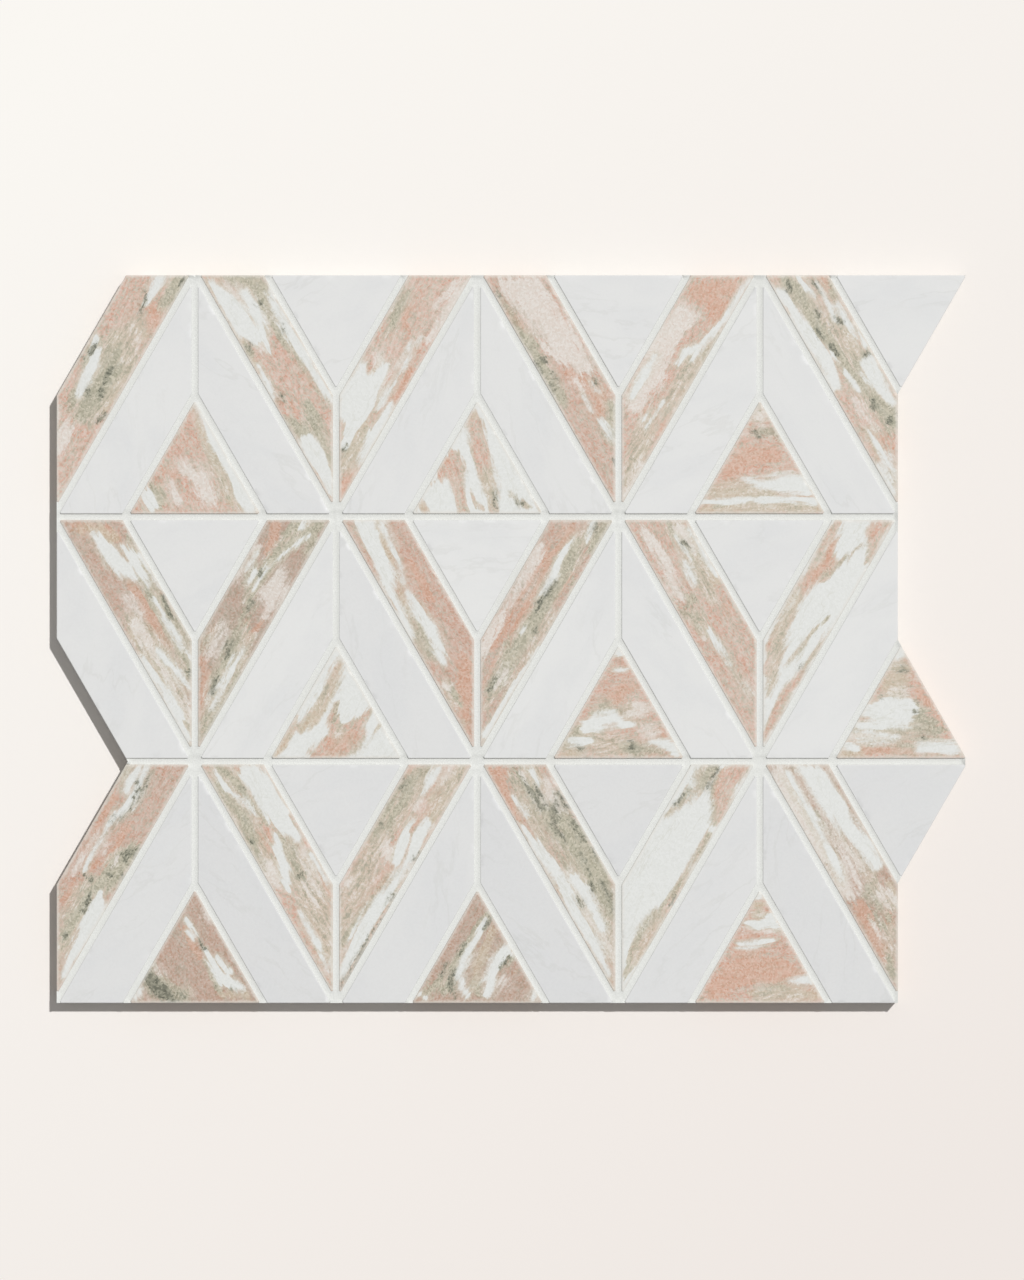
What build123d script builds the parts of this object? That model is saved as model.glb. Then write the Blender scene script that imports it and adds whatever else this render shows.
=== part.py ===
from build123d import *
import os
from math import radians, sin, sqrt

# Marble mosaic sheet for walls and floors. Chips of white and of rose veined marble are sawn as
# trapezoids and small triangles. Two trapezoids and one triangle make a large equilateral triangle,
# and large triangles that point up and down by turns make a row. The rows are shifted by half a
# triangle, so that the points of the chips meet in stars. The left and right edges zigzag, and one
# sheet interlocks with the next. The chips stand on a thin glass fibre mesh, and grout fills the
# joints between them to a little below their faces.
# Units are millimetres. +X runs along the rows, +Y up the sheet, and +Z out of its face.
# The origin is in the middle of the sheet, on its underside.

# Driving dimensions
triangle_side = 101.6  # side of a large triangle, from star to star: three of them are 12 inches
rows = 3
triangles_per_row = 3  # large triangles in a row that point the same way
joint_width = 2.2
chip_thickness = 9.5
arris = 0.3  # eased edge round the face of a chip
tip_flat = 0.7  # width of the flat on each sharp corner of a chip
grout_recess = 0.8  # depth of the grout below the faces of the chips
mesh_thickness = 0.5
mesh_inset = 1.5  # the mesh is trimmed this far inside the edge of the sheet

# Sizes that follow from them
row_height = triangle_side * sqrt(3) / 2
chip_base = mesh_thickness
grout_height = chip_thickness - grout_recess
last_column = 2 * triangles_per_row
sheet_left = joint_width / 2
tip_reach = joint_width * sqrt(3) / 2 + tip_flat / 2  # from the lattice to the end of a side tip
sheet_right = (triangles_per_row + 1 / 4) * triangle_side - tip_reach
sheet_middle = (sheet_left + sheet_right) / 2
sheet_height = rows * row_height


def cells_of_triangle(pointing_up):
    """Corners of the left strip, the right strip and the small triangle, from the base line."""
    apex = Vector(0, row_height)
    waist = Vector(0, row_height / 2)
    foot = Vector(-triangle_side / 4, 0)
    corner = Vector(-triangle_side / 2, 0)
    left_strip = [apex, waist, foot, corner]
    right_strip = [Vector(-point.X, point.Y) for point in left_strip]
    small_triangle = [waist, foot, Vector(-foot.X, 0)]
    cells = [left_strip, right_strip, small_triangle]
    if pointing_up:
        return cells
    return [[Vector(point.X, row_height - point.Y) for point in cell] for cell in cells]


def chip_corners(cell):
    """Corners of a chip: its cell less half a joint all round, with a flat on each sharp corner."""
    outline = []
    for before, corner, after in zip(cell[-1:] + cell[:-1], cell, cell[1:] + cell[:1]):
        back = (before - corner).normalized()
        ahead = (after - corner).normalized()
        angle = radians(back.get_angle(ahead))
        inset = corner + (back + ahead) * (joint_width / 2 / sin(angle))
        if angle < radians(90):
            setback = tip_flat / 2 / sin(angle / 2)
            outline += [inset + back * setback, inset + ahead * setback]
        else:
            outline.append(inset)
    return outline


def flat_face(corners):
    """A flat face with straight sides that turns its front up."""
    face = make_face(Polyline(*corners, close=True)).face()
    return face if face.normal_at().Z > 0 else -face


def marble_chip(plan):
    """One sawn chip with its upper edges eased, standing on the mesh."""
    chip = extrude(Pos(0, 0, chip_base) * plan, chip_thickness, dir=(0, 0, 1))
    face_edges = chip.faces().sort_by(Axis.Z)[-1].edges()
    return chamfer(face_edges, arris)


def laid_cells():
    """Every cell of the sheet by the name of its chip, row by row from the top left."""
    cells = {}
    for row in range(rows):
        base_line = sheet_height / 2 - (row + 1) * row_height
        counts = {}
        for column in range(last_column + 1):
            place = Vector(column * triangle_side / 2 - sheet_middle, base_line)
            pointing_up = (row + column) % 2 == 1
            left, right, triangle = cells_of_triangle(pointing_up)
            strips = "white_trapezoid" if pointing_up else "rose_trapezoid"
            small = "rose_triangle" if pointing_up else "white_triangle"
            pieces = []
            if column > 0:
                pieces += [(strips, left), (small, triangle)]
            if column < last_column:
                pieces += [(strips, right)]
            for kind, cell in pieces:
                counts[kind] = counts.get(kind, 0) + 1
                name = f"{kind}_r{row + 1}_{counts[kind]}"
                cells[name] = [place + point for point in cell]
    return cells


def sheet_plan(cells):
    """Outline of the sheet: all cells together, less half a joint, with its side points cut off."""
    whole = Sketch() + [flat_face(cell) for cell in cells.values()]
    trimmed = offset(whole, -joint_width / 2, kind=Kind.INTERSECTION)
    return trimmed & Rectangle(sheet_right - sheet_left, sheet_height)


def grout_bed(outline, plans):
    """The grout: one lattice that fills every joint and meets the sides of all chips."""
    joints = outline - plans
    lattice = joints.faces().sort_by(SortBy.AREA)[-1]
    return extrude(Pos(0, 0, chip_base) * lattice, grout_height, dir=(0, 0, 1))


def backing(outline):
    """The mesh under the chips, as one thin sheet trimmed a little inside their outline."""
    plan = offset(outline, -mesh_inset, kind=Kind.INTERSECTION)
    return extrude(plan, mesh_thickness, dir=(0, 0, 1))


cells = laid_cells()
plans = {name: flat_face(chip_corners(cell)) for name, cell in cells.items()}
outline = sheet_plan(cells)

nodes = {name: marble_chip(plan) for name, plan in plans.items()}
nodes["grout"] = grout_bed(outline, list(plans.values()))
nodes["backing_mesh"] = backing(outline)

os.makedirs("parts", exist_ok=True)
for name, shape in nodes.items():
    export_step(shape, f"parts/{name}.step")

print(len(nodes), "pieces, of which", len(plans), "are marble chips")
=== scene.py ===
# %% [markdown]
# # A marble mosaic sheet
# The real object is one sheet of stone mosaic, about 327 by 262 mm. Chips of white marble and of rose
# veined marble were sawn to two shapes, laid in a star pattern on a glass fibre mesh, and grouted.
# The construction model already has every chip at its true size and place. This lesson gives it the
# looks: eased and spalled edges, veins that run through each stone, sanded grout and a woven back.

# %% Load the construction model
import math
import random
from collections import namedtuple

import bpy
import numpy as np
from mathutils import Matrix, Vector, geometry


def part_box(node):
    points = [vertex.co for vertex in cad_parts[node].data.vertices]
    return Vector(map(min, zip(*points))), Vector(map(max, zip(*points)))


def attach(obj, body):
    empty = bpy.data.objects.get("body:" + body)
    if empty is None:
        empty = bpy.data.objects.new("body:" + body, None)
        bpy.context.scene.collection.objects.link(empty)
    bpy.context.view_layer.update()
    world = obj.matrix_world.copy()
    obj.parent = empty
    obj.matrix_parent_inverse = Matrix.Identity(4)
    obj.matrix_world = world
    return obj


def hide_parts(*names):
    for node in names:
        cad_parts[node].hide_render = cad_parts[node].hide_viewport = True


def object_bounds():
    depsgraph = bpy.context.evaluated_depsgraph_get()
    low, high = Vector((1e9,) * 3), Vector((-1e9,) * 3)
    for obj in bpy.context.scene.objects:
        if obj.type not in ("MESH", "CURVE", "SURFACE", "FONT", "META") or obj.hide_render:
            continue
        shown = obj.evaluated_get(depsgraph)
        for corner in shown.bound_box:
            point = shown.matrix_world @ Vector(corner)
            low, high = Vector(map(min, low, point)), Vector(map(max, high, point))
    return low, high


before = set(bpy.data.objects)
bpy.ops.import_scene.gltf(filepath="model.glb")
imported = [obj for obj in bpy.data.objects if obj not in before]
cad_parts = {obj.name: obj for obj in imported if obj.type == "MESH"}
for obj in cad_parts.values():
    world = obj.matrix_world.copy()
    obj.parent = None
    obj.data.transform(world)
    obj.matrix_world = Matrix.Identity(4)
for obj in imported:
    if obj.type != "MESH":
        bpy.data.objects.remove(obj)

cad_box = [list(corner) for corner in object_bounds()]
print("construction model:", len(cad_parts), "nodes")

# %% [markdown]
# ## The lattice that the chips are laid on
# Large equilateral triangles point up and down by turns. Each is cut into two long trapezoids, left and
# right of its middle, and one small triangle on its base line. Lengths are written in millimetres, as on
# a workshop drawing, and become metres where a mesh is made. A chip could be copied from its node in
# the model, but worn edges and veins need a finer mesh, so each chip is built again on its own seat.
# A seat is a corner, a direction along the chip and a direction across it.

# %% Sizes of the sheet, in millimetres
MM = 0.001
triangle_side = 101.6
rows = 3
triangles_per_row = 3
joint = 2.2
tip_flat = 0.7
face_height = cad_box[1][2] / MM
base_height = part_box("white_triangle_r1_1")[0].z / MM
grout_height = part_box("grout")[1].z / MM
chip_thickness = face_height - base_height
row_height = triangle_side * math.sqrt(3) / 2
sheet_left = joint / 2
sheet_right = sheet_left + (cad_box[1][0] - cad_box[0][0]) / MM
sheet_middle = (sheet_left + sheet_right) / 2
print(f"chips {chip_thickness:.2f} mm thick, faces {face_height - grout_height:.2f} mm above the grout")

# %% The seat of every chip
Seat = namedtuple("Seat", "node stone shape row hand corner along across")


def laid_seats():
    """Every chip's seat, row by row from the top left, with the name of its node."""
    seats = []
    for row in range(rows):
        base_line = (rows / 2 - row - 1) * row_height
        counts = {}
        for column in range(2 * triangles_per_row + 1):
            x = column * triangle_side / 2 - sheet_middle
            points_up = (row + column) % 2 == 1
            top_line = base_line + row_height
            apex = Vector((x, top_line if points_up else base_line))
            fall = -1 if points_up else 1
            strip, small = ("white", "rose") if points_up else ("rose", "white")
            pieces = []
            if column > 0:
                pieces += [(strip, "trapezoid", -1), (small, "triangle", 0)]
            if column < 2 * triangles_per_row:
                pieces += [(strip, "trapezoid", 1)]
            for stone, shape, hand in pieces:
                kind = f"{stone}_{shape}"
                counts[kind] = counts.get(kind, 0) + 1
                corner = apex
                along = Vector((hand / 2, fall * math.sqrt(3) / 2))
                across = Vector((-hand * math.sqrt(3) / 2, fall / 2))
                if shape == "triangle":
                    corner = apex + Vector((-triangle_side / 4, fall * row_height))
                    along = Vector((1, 0))
                    across = Vector((0, -fall))
                node = f"{kind}_r{row + 1}_{counts[kind]}"
                seats.append(Seat(node, stone, shape, row + 1, hand, corner, along, across))
    return seats


seats = laid_seats()
print(len(seats), "seats")

# %% Outlines of the two chip shapes
cells = {
    "trapezoid": [
        Vector((0, 0)),
        Vector((triangle_side, 0)),
        Vector((triangle_side * 7 / 8, row_height / 4)),
        Vector((triangle_side * 3 / 8, row_height / 4)),
    ],
    "triangle": [
        Vector((0, 0)),
        Vector((triangle_side / 2, 0)),
        Vector((triangle_side / 4, row_height / 2)),
    ],
}


def sides_at(outline, number):
    """One corner of an outline, with unit vectors from it to the corners before and after it."""
    corner = outline[number]
    back = (outline[number - 1] - corner).normalized()
    ahead = (outline[(number + 1) % len(outline)] - corner).normalized()
    return corner, back, ahead


def moved_in(outline, distance):
    """A convex outline with every side moved in by a distance."""
    inner = []
    for number in range(len(outline)):
        corner, back, ahead = sides_at(outline, number)
        inner.append(corner + (back + ahead) * (distance / math.sin(back.angle(ahead))))
    return inner


def blunted(outline, flat):
    """An outline with a flat on each corner that is sharper than a right angle."""
    blunt = []
    for number in range(len(outline)):
        corner, back, ahead = sides_at(outline, number)
        angle = back.angle(ahead)
        if angle < math.radians(90):
            setback = flat / 2 / math.sin(angle / 2)
            blunt += [corner + back * setback, corner + ahead * setback]
        else:
            blunt.append(corner)
    return blunt


outlines = {shape: blunted(moved_in(cell, joint / 2), tip_flat) for shape, cell in cells.items()}


def on_sheet(seat, point):
    """A point of a chip, given along and across it, as a point of the sheet."""
    return seat.corner + seat.along * point[0] + seat.across * point[1]


worst = 0
for seat in seats:
    plan = np.array([on_sheet(seat, point) for point in outlines[seat.shape]])
    low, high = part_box(seat.node)
    worst = max(worst, abs(plan.min(0) * MM - low[:2]).max(), abs(plan.max(0) * MM - high[:2]).max())
print(f"seats and nodes agree to {worst / MM:.4f} mm")

# %% [markdown]
# ## Camera and lamp
# The sheet lies flat and is looked at from straight above with a long lens. The light comes from the
# upper right: a crisp lamp for the thin shadows in the joints, and an even sky for the rest. A sun of
# strength pi that stands straight up shows a white surface as white, so the strengths below are shares
# of that, and a colour renders about as it is written.

# %% Camera
image_height = 1280
sensor = 36.0
lens = 200.0
mm_per_pixel = 0.35965
aim_x, aim_y = 0.37, -0.31
view_distance = mm_per_pixel * image_height * lens / sensor
camera_data = bpy.data.cameras.new("camera")
camera_data.sensor_width = sensor
camera_data.lens = lens
camera_data.clip_end = 20
camera = bpy.data.objects.new("camera", camera_data)
camera.location = (aim_x * MM, aim_y * MM, (face_height + view_distance) * MM)
bpy.context.scene.collection.objects.link(camera)
bpy.context.scene.camera = camera
bpy.context.scene.view_settings.view_transform = "Standard"
print(f"camera {camera.location.z:.3f} m above the floor")

# %% Lamp
sun_azimuth = math.radians(48.5)
sun_elevation = math.radians(63.5)
sun_width = math.radians(1.8)
sun_share = 0.71
sky_share = 0.27
sun_data = bpy.data.lights.new("sun", "SUN")
sun_data.energy = math.pi * sun_share / math.sin(sun_elevation)
sun_data.angle = sun_width
sun = bpy.data.objects.new("sun", sun_data)
towards_sun = Vector(
    (
        math.cos(sun_azimuth) * math.cos(sun_elevation),
        math.sin(sun_azimuth) * math.cos(sun_elevation),
        math.sin(sun_elevation),
    )
)
sun.rotation_euler = towards_sun.to_track_quat("Z", "Y").to_euler()
bpy.context.scene.collection.objects.link(sun)
print(f"sun of strength {sun_data.energy:.2f}")

# %% [markdown]
# ## Helpers for node trees
# Materials and Geometry Nodes trees are made the same way: a node, its settings, and for each input
# either a plain value or the output that feeds it. These few helpers keep the recipes below readable.

# %% Colours and nodes
def linear(red, green, blue):
    """A colour as it shows on screen, 0 to 255, as the linear values that shaders take."""
    shown = [channel / 255 for channel in (red, green, blue)]
    return tuple(c / 12.92 if c <= 0.04045 else ((c + 0.055) / 1.055) ** 2.4 for c in shown) + (1.0,)


def add(tree, kind, inputs=None, **settings):
    """A new node. Each input, by name or number, gets a value or a link from another node's output."""
    made = tree.nodes.new(kind)
    made.location = (220 * (len(tree.nodes) % 10), -260 * (len(tree.nodes) // 10))
    for name, value in settings.items():
        setattr(made, name, value)
    for key, value in (inputs or {}).items():
        if isinstance(value, bpy.types.NodeSocket):
            tree.links.new(value, made.inputs[key])
        else:
            made.inputs[key].default_value = value
    return made


def maths(tree, operation, *values):
    """The output of a Math node."""
    return add(tree, "ShaderNodeMath", dict(enumerate(values)), operation=operation).outputs[0]


def vector_maths(tree, operation, *values):
    """The output of a Vector Math node."""
    return add(tree, "ShaderNodeVectorMath", dict(enumerate(values)), operation=operation).outputs[0]


def stretched(tree, vector, factors):
    """A vector with each of its parts multiplied by a factor."""
    return vector_maths(tree, "MULTIPLY", vector, factors)


def scaled(tree, vector, factor):
    """A vector with all its parts multiplied by one factor."""
    return add(tree, "ShaderNodeVectorMath", {0: vector, "Scale": factor}, operation="SCALE").outputs[0]


def eased(tree, value, low, high, to_low=0.0, to_high=1.0):
    """A value taken smoothly from one range to another, and held at its ends."""
    ranges = {"Value": value, "From Min": low, "From Max": high, "To Min": to_low, "To Max": to_high}
    return add(tree, "ShaderNodeMapRange", ranges, interpolation_type="SMOOTHSTEP").outputs["Result"]


def covered(tree, mask, below, above):
    """The colour below, covered by the colour above where the mask is 1."""
    return add(tree, "ShaderNodeMix", {0: mask, 6: below, 7: above}, data_type="RGBA").outputs[2]


def attribute(tree, name, output="Fac"):
    """A value that is stored on the mesh."""
    return add(tree, "ShaderNodeAttribute", attribute_name=name).outputs[output]


def noise(tree, vector, scale, detail=2.0, roughness=0.5):
    """Smooth random values about one half."""
    inputs = {"Vector": vector, "Scale": scale, "Detail": detail, "Roughness": roughness}
    return add(tree, "ShaderNodeTexNoise", inputs).outputs[0]


# %% Groups and materials
def new_group(name, kind, inputs, outputs):
    """A node group with named sockets: the tree, the outputs of its input node, and its output node."""
    tree = bpy.data.node_groups.new(name, kind)
    for label, (socket_kind, value) in inputs.items():
        socket = tree.interface.new_socket(label, in_out="INPUT", socket_type=socket_kind)
        if value is not None:
            socket.default_value = value
    for label, socket_kind in outputs.items():
        tree.interface.new_socket(label, in_out="OUTPUT", socket_type=socket_kind)
    return tree, tree.nodes.new("NodeGroupInput").outputs, tree.nodes.new("NodeGroupOutput").inputs


def placed(tree, group, inputs):
    """The outputs of a shader group that is placed in a tree with its own values."""
    return add(tree, "ShaderNodeGroup", inputs, node_tree=group).outputs


def new_material(name):
    """A material with its tree and its Principled BSDF."""
    material = bpy.data.materials.new(name)
    material.use_nodes = True
    return material, material.node_tree, material.node_tree.nodes["Principled BSDF"]


def told(name, tree):
    """Prints how large a finished tree is."""
    print(f"{name}: {len(tree.nodes)} nodes, {len(tree.links)} links")


# %% [markdown]
# ## Sky and floor
# The sky lights the sheet evenly, and only the camera sees it as the pale backdrop. The floor is a
# large matt plane whose tone falls off a little from the upper left to the lower right. It carries the
# sheet's shadow and is no part of the object.

# %% Sky
world = bpy.data.worlds.new("studio")
world.use_nodes = True
bpy.context.scene.world = world
sky = world.node_tree
background = sky.nodes["Background"]
rays = add(sky, "ShaderNodeLightPath").outputs
seen = maths(sky, "MAXIMUM", rays["Is Camera Ray"], rays["Is Transmission Ray"])
sky_colour = covered(sky, seen, linear(255, 255, 255), linear(247, 242, 237))
sky.links.new(sky_colour, background.inputs["Color"])
sky.links.new(eased(sky, seen, 0.0, 1.0, sky_share, 1.0), background.inputs["Strength"])
told("sky", sky)

# %% Floor
floor_reach = 5.0
floor_mesh = bpy.data.meshes.new("floor")
corners = [(x * floor_reach, y * floor_reach, 0) for x, y in ((-1, -1), (1, -1), (1, 1), (-1, 1))]
floor_mesh.from_pydata(corners, [], [(0, 1, 2, 3)])
floor = bpy.data.objects.new("floor", floor_mesh)
bpy.context.scene.collection.objects.link(floor)
floor_material, tree, shader = new_material("pale_floor")
place = add(tree, "ShaderNodeTexCoord").outputs["Object"]
fade_direction = Vector((0.62, -0.78, 0))
fade_reach = 0.26
slide = add(tree, "ShaderNodeVectorMath", {0: place, 1: fade_direction}, operation="DOT_PRODUCT")
ranges = {"Value": slide.outputs["Value"], "From Min": -fade_reach, "From Max": fade_reach}
fade = add(tree, "ShaderNodeMapRange", ranges).outputs["Result"]
floor_colour = covered(tree, fade, linear(252, 249, 244), linear(241, 234, 229))
tree.links.new(floor_colour, shader.inputs["Base Color"])
shader.inputs["Roughness"].default_value = 0.9
shader.inputs["Specular IOR Level"].default_value = 0.0
floor_mesh.materials.append(floor_material)
told("floor", tree)

# %% [markdown]
# ## Finishes that several stones share
# These effects come back in more than one place, so each is a shader group, built once. Wavy grain
# bends a place so that veins wander. Crystals are the sugary grains of marble, each with its own tint
# and lightness. A hairline is a thin broken vein.

# %% Wavy grain, crystals and hairlines
VALUE = "NodeSocketFloat"
PLACE = "NodeSocketVector"

wavy_grain, given, result = new_group(
    "wavy grain", "ShaderNodeTree", {"Place": (PLACE, None), "Reach": (VALUE, 4.0)}, {"Place": PLACE}
)
drawn_out = stretched(wavy_grain, given["Place"], (0.45, 1.0, 1.0))
waves = add(wavy_grain, "ShaderNodeTexNoise", {"Vector": drawn_out, "Scale": 0.1, "Detail": 3.0})
sway = vector_maths(wavy_grain, "SUBTRACT", waves.outputs["Color"], (0.5, 0.5, 0.5))
bent = vector_maths(wavy_grain, "ADD", given["Place"], scaled(wavy_grain, sway, given["Reach"]))
wavy_grain.links.new(bent, result["Place"])
told("wavy grain", wavy_grain)

crystals, given, result = new_group(
    "crystals",
    "ShaderNodeTree",
    {"Place": (PLACE, None), "Size": (VALUE, 0.8)},
    {"Tint": VALUE, "Light": VALUE, "Sand": VALUE},
)
per_crystal = maths(crystals, "DIVIDE", 1.0, given["Size"])
cell = add(crystals, "ShaderNodeTexVoronoi", {"Vector": given["Place"], "Scale": per_crystal})
channels = add(crystals, "ShaderNodeSeparateColor", {0: cell.outputs["Color"]}).outputs
crystals.links.new(channels[0], result["Tint"])
crystals.links.new(channels[1], result["Light"])
crystals.links.new(noise(crystals, given["Place"], per_crystal, 2.0, 0.7), result["Sand"])
told("crystals", crystals)

hairline, given, result = new_group(
    "hairline",
    "ShaderNodeTree",
    {"Place": (PLACE, None), "Scale": (VALUE, 0.1), "Width": (VALUE, 0.02)},
    {"Mask": VALUE},
)
wander = noise(hairline, given["Place"], given["Scale"], 5.0, 0.55)
off_line = maths(hairline, "ABSOLUTE", maths(hairline, "SUBTRACT", wander, 0.5))
line = eased(hairline, off_line, 0.0, given["Width"], 1.0, 0.0)
broken = noise(hairline, given["Place"], maths(hairline, "MULTIPLY", given["Scale"], 0.6), 1.0)
hairline.links.new(maths(hairline, "MULTIPLY", line, eased(hairline, broken, 0.42, 0.62)), result["Mask"])
told("hairline", hairline)

# %% [markdown]
# ## Torn figures
# A white lens or a green band in real marble has no smooth edge: fingers are drawn out of it along the
# grain, and single crystals stand across its border. So a figure is given as a painted depth, in
# millimetres, that is positive inside. Long noise pushes fingers out, short noise tears tatters, and
# each crystal shifts the border a little. The place where that sum crosses nothing is the real edge.

# %% Torn figure
torn_figure, given, result = new_group(
    "torn figure",
    "ShaderNodeTree",
    {
        "Depth": (VALUE, 0.0),
        "Place": (PLACE, None),
        "Seed": (VALUE, 0.0),
        "Fingers": (VALUE, 1.0),
        "Tatters": (VALUE, 0.5),
        "Soft": (VALUE, 0.4),
        "Grain size": (VALUE, 0.7),
    },
    {"Mask": VALUE},
)
step_per_seed = (17.3, 9.1, 5.7)
finger_reach, tatter_reach, crystal_reach = 10.0, 8.0, 0.7
seeded = vector_maths(torn_figure, "MULTIPLY_ADD", given["Seed"], step_per_seed, given["Place"])
drawn = noise(torn_figure, stretched(torn_figure, seeded, (0.07, 0.5, 0.5)), 1.0, 3.0, 0.5)
torn = noise(torn_figure, stretched(torn_figure, seeded, (0.6, 1.1, 1.1)), 1.0, 4.0, 0.75)
grains = placed(torn_figure, crystals, {"Place": given["Place"], "Size": given["Grain size"]})["Tint"]
depth = given["Depth"]
for source, reach, amount in (
    (drawn, finger_reach, "Fingers"),
    (torn, tatter_reach, "Tatters"),
    (grains, crystal_reach, "Soft"),
):
    centred = maths(torn_figure, "SUBTRACT", source, 0.5)
    moved = maths(torn_figure, "MULTIPLY", centred, reach)
    depth = maths(torn_figure, "MULTIPLY_ADD", moved, given[amount], depth)
outside = maths(torn_figure, "MULTIPLY", given["Soft"], -1.0)
torn_figure.links.new(eased(torn_figure, depth, outside, given["Soft"]), result["Mask"])
told("torn figure", torn_figure)

# %% [markdown]
# ## Traces of the work
# Grout bloom is the film of cement that stays along the arris of a chip after the joints are wiped.
# Saw marks are the fine lines on its sawn sides and back, which start a little below the face.

# %% Grout bloom and saw marks
bloom, given, result = new_group(
    "grout bloom",
    "ShaderNodeTree",
    {"Edge": (VALUE, 0.0), "Place": (PLACE, None), "Reach": (VALUE, 1.0)},
    {"Mask": VALUE},
)
smear = noise(bloom, given["Place"], 0.5, 3.0, 0.6)
reach = maths(bloom, "MULTIPLY", given["Reach"], smear)
bloom.links.new(eased(bloom, given["Edge"], 0.1, reach, 1.0, 0.0), result["Mask"])
told("grout bloom", bloom)

saw_marks, given, result = new_group(
    "saw marks",
    "ShaderNodeTree",
    {"Place": (PLACE, None), "Below face": (VALUE, 0.0)},
    {"Height": VALUE, "Mask": VALUE},
)
sawn = eased(saw_marks, given["Below face"], 0.35, 0.9)
lines = noise(saw_marks, stretched(saw_marks, given["Place"], (0.03, 1.6, 2.6)), 1.0, 3.0, 0.6)
saw_marks.links.new(maths(saw_marks, "MULTIPLY", lines, sawn), result["Height"])
saw_marks.links.new(sawn, result["Mask"])
told("saw marks", saw_marks)

# %% [markdown]
# ## White marble
# The white stone is honed and nearly plain: a soft cloud here and there, a faint grey hairline, and a
# tone that differs a little from chip to chip, because chips come from several slabs. All of it reads
# the stone's own grain, a place in millimetres that is stored on the mesh, so that the pattern runs on
# round the arris and down the sides. Both marbles end alike, with bloom, dusty sawn sides and a fine
# relief, so one function does that. These helpers work on the material that is being made.

# %% Helpers for the materials
def faded(mask, strength):
    """A mask at part of its strength."""
    return maths(tree, "MULTIPLY", mask, strength)


def laid_on(colour, mask, strength, above):
    """A colour with another laid on it where the mask is 1, at part of its strength."""
    return covered(tree, faded(mask, strength), colour, above)


def feed_shader(colour, roughness, relief, strength, depth):
    """Gives the shader its colour, its roughness and a bumpy relief, some millimetres deep."""
    bump = add(tree, "ShaderNodeBump", {"Strength": strength, "Distance": depth * MM, "Height": relief})
    tree.links.new(colour, shader.inputs["Base Color"])
    tree.links.new(roughness, shader.inputs["Roughness"])
    tree.links.new(bump.outputs["Normal"], shader.inputs["Normal"])


def finish_marble(
    colour, bloom_reach, bloom_share, bloom_colour, dust_share, dust_colour, sparkle, honed, sand
):
    """Ends a marble: bloom along the arris, dusty sawn sides, honed face, and the relief of its grains."""
    sawn_roughness = 0.75
    film = placed(tree, bloom, {"Edge": attribute(tree, "edge"), "Place": grain, "Reach": bloom_reach})
    saw = placed(tree, saw_marks, {"Place": grain, "Below face": attribute(tree, "below")})
    colour = laid_on(colour, film["Mask"], bloom_share, linear(*bloom_colour))
    colour = laid_on(colour, saw["Mask"], dust_share, linear(*dust_colour))
    face = maths(tree, "MULTIPLY_ADD", sugar["Light"], sparkle, honed)
    roughness = maths(tree, "MAXIMUM", face, faded(saw["Mask"], sawn_roughness))
    relief = maths(tree, "MULTIPLY_ADD", sugar["Sand"], sand, saw["Height"])
    feed_shader(colour, roughness, relief, 0.6, 0.05)


# %% White marble material
white_marble, tree, shader = new_material("white_marble")
grain = placed(tree, wavy_grain, {"Place": attribute(tree, "grain", "Vector"), "Reach": 6.0})["Place"]
sugar = placed(tree, crystals, {"Place": grain, "Size": 0.7})
colour = covered(tree, attribute(tree, "tone"), linear(214, 214, 214), linear(229, 229, 227))
clouds = noise(tree, stretched(tree, grain, (0.5, 1.0, 1.0)), 0.06, 5.0, 0.6)
colour = laid_on(colour, eased(tree, clouds, 0.38, 0.68), 0.4, linear(214, 215, 216))
drawn_out = stretched(tree, grain, (0.3, 1.0, 1.0))
veins = placed(tree, hairline, {"Place": drawn_out, "Scale": 0.09, "Width": 0.03})["Mask"]
colour = laid_on(colour, veins, 0.2, linear(196, 196, 190))
colour = laid_on(colour, sugar["Light"], 0.12, linear(236, 237, 236))
finish_marble(
    colour,
    bloom_reach=1.5,
    bloom_share=0.4,
    bloom_colour=(231, 231, 229),
    dust_share=0.75,
    dust_colour=(176, 173, 166),
    sparkle=0.1,
    honed=0.45,
    sand=0.4,
)
told("white marble", tree)

# %% [markdown]
# ## Rose marble
# The rose stone is a crystalline ground that wavers between ivory, tan, pink and salmon in long
# streaks, with white lenses, pale haze, layered zones, green and tan bands, rust clouds and black
# flecks, all drawn out one way. Noise alone gives stone of the right kind but not these stones, so the
# figures are painted: every vertex stores how deep it lies in each kind of figure. The material tears
# those smooth edges along the grain, softer where a slow noise, the mist, is high.

# %% Helpers for the rose marble
rose_marble, tree, shader = new_material("rose_marble")
crystal_size = 0.62
grain = placed(tree, wavy_grain, {"Place": attribute(tree, "grain", "Vector"), "Reach": 5.0})["Place"]
sugar = placed(tree, crystals, {"Place": grain, "Size": crystal_size})
mist = eased(tree, noise(tree, grain, 0.07, 2.0), 0.4, 0.62, 0.6, 2.4)
KINDS = ("white", "haze", "green", "tan", "rust", "dark", "veined", "pink")


def sugared(dark, light):
    """A colour that varies from crystal to crystal between two, each given as it shows on screen."""
    return covered(tree, sugar["Light"], linear(*dark), linear(*light))


def banded(value, *stops):
    """A colour that follows a value through evenly spaced colours, each given as it shows on screen."""
    made = add(tree, "ShaderNodeValToRGB", {"Fac": value})
    elements = made.color_ramp.elements
    for number, shown in enumerate(stops[1:-1], 1):
        elements.new(number / (len(stops) - 1)).color = linear(*shown)
    elements[0].color = linear(*stops[0])
    elements[-1].color = linear(*stops[-1])
    return made.outputs["Color"]


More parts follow.
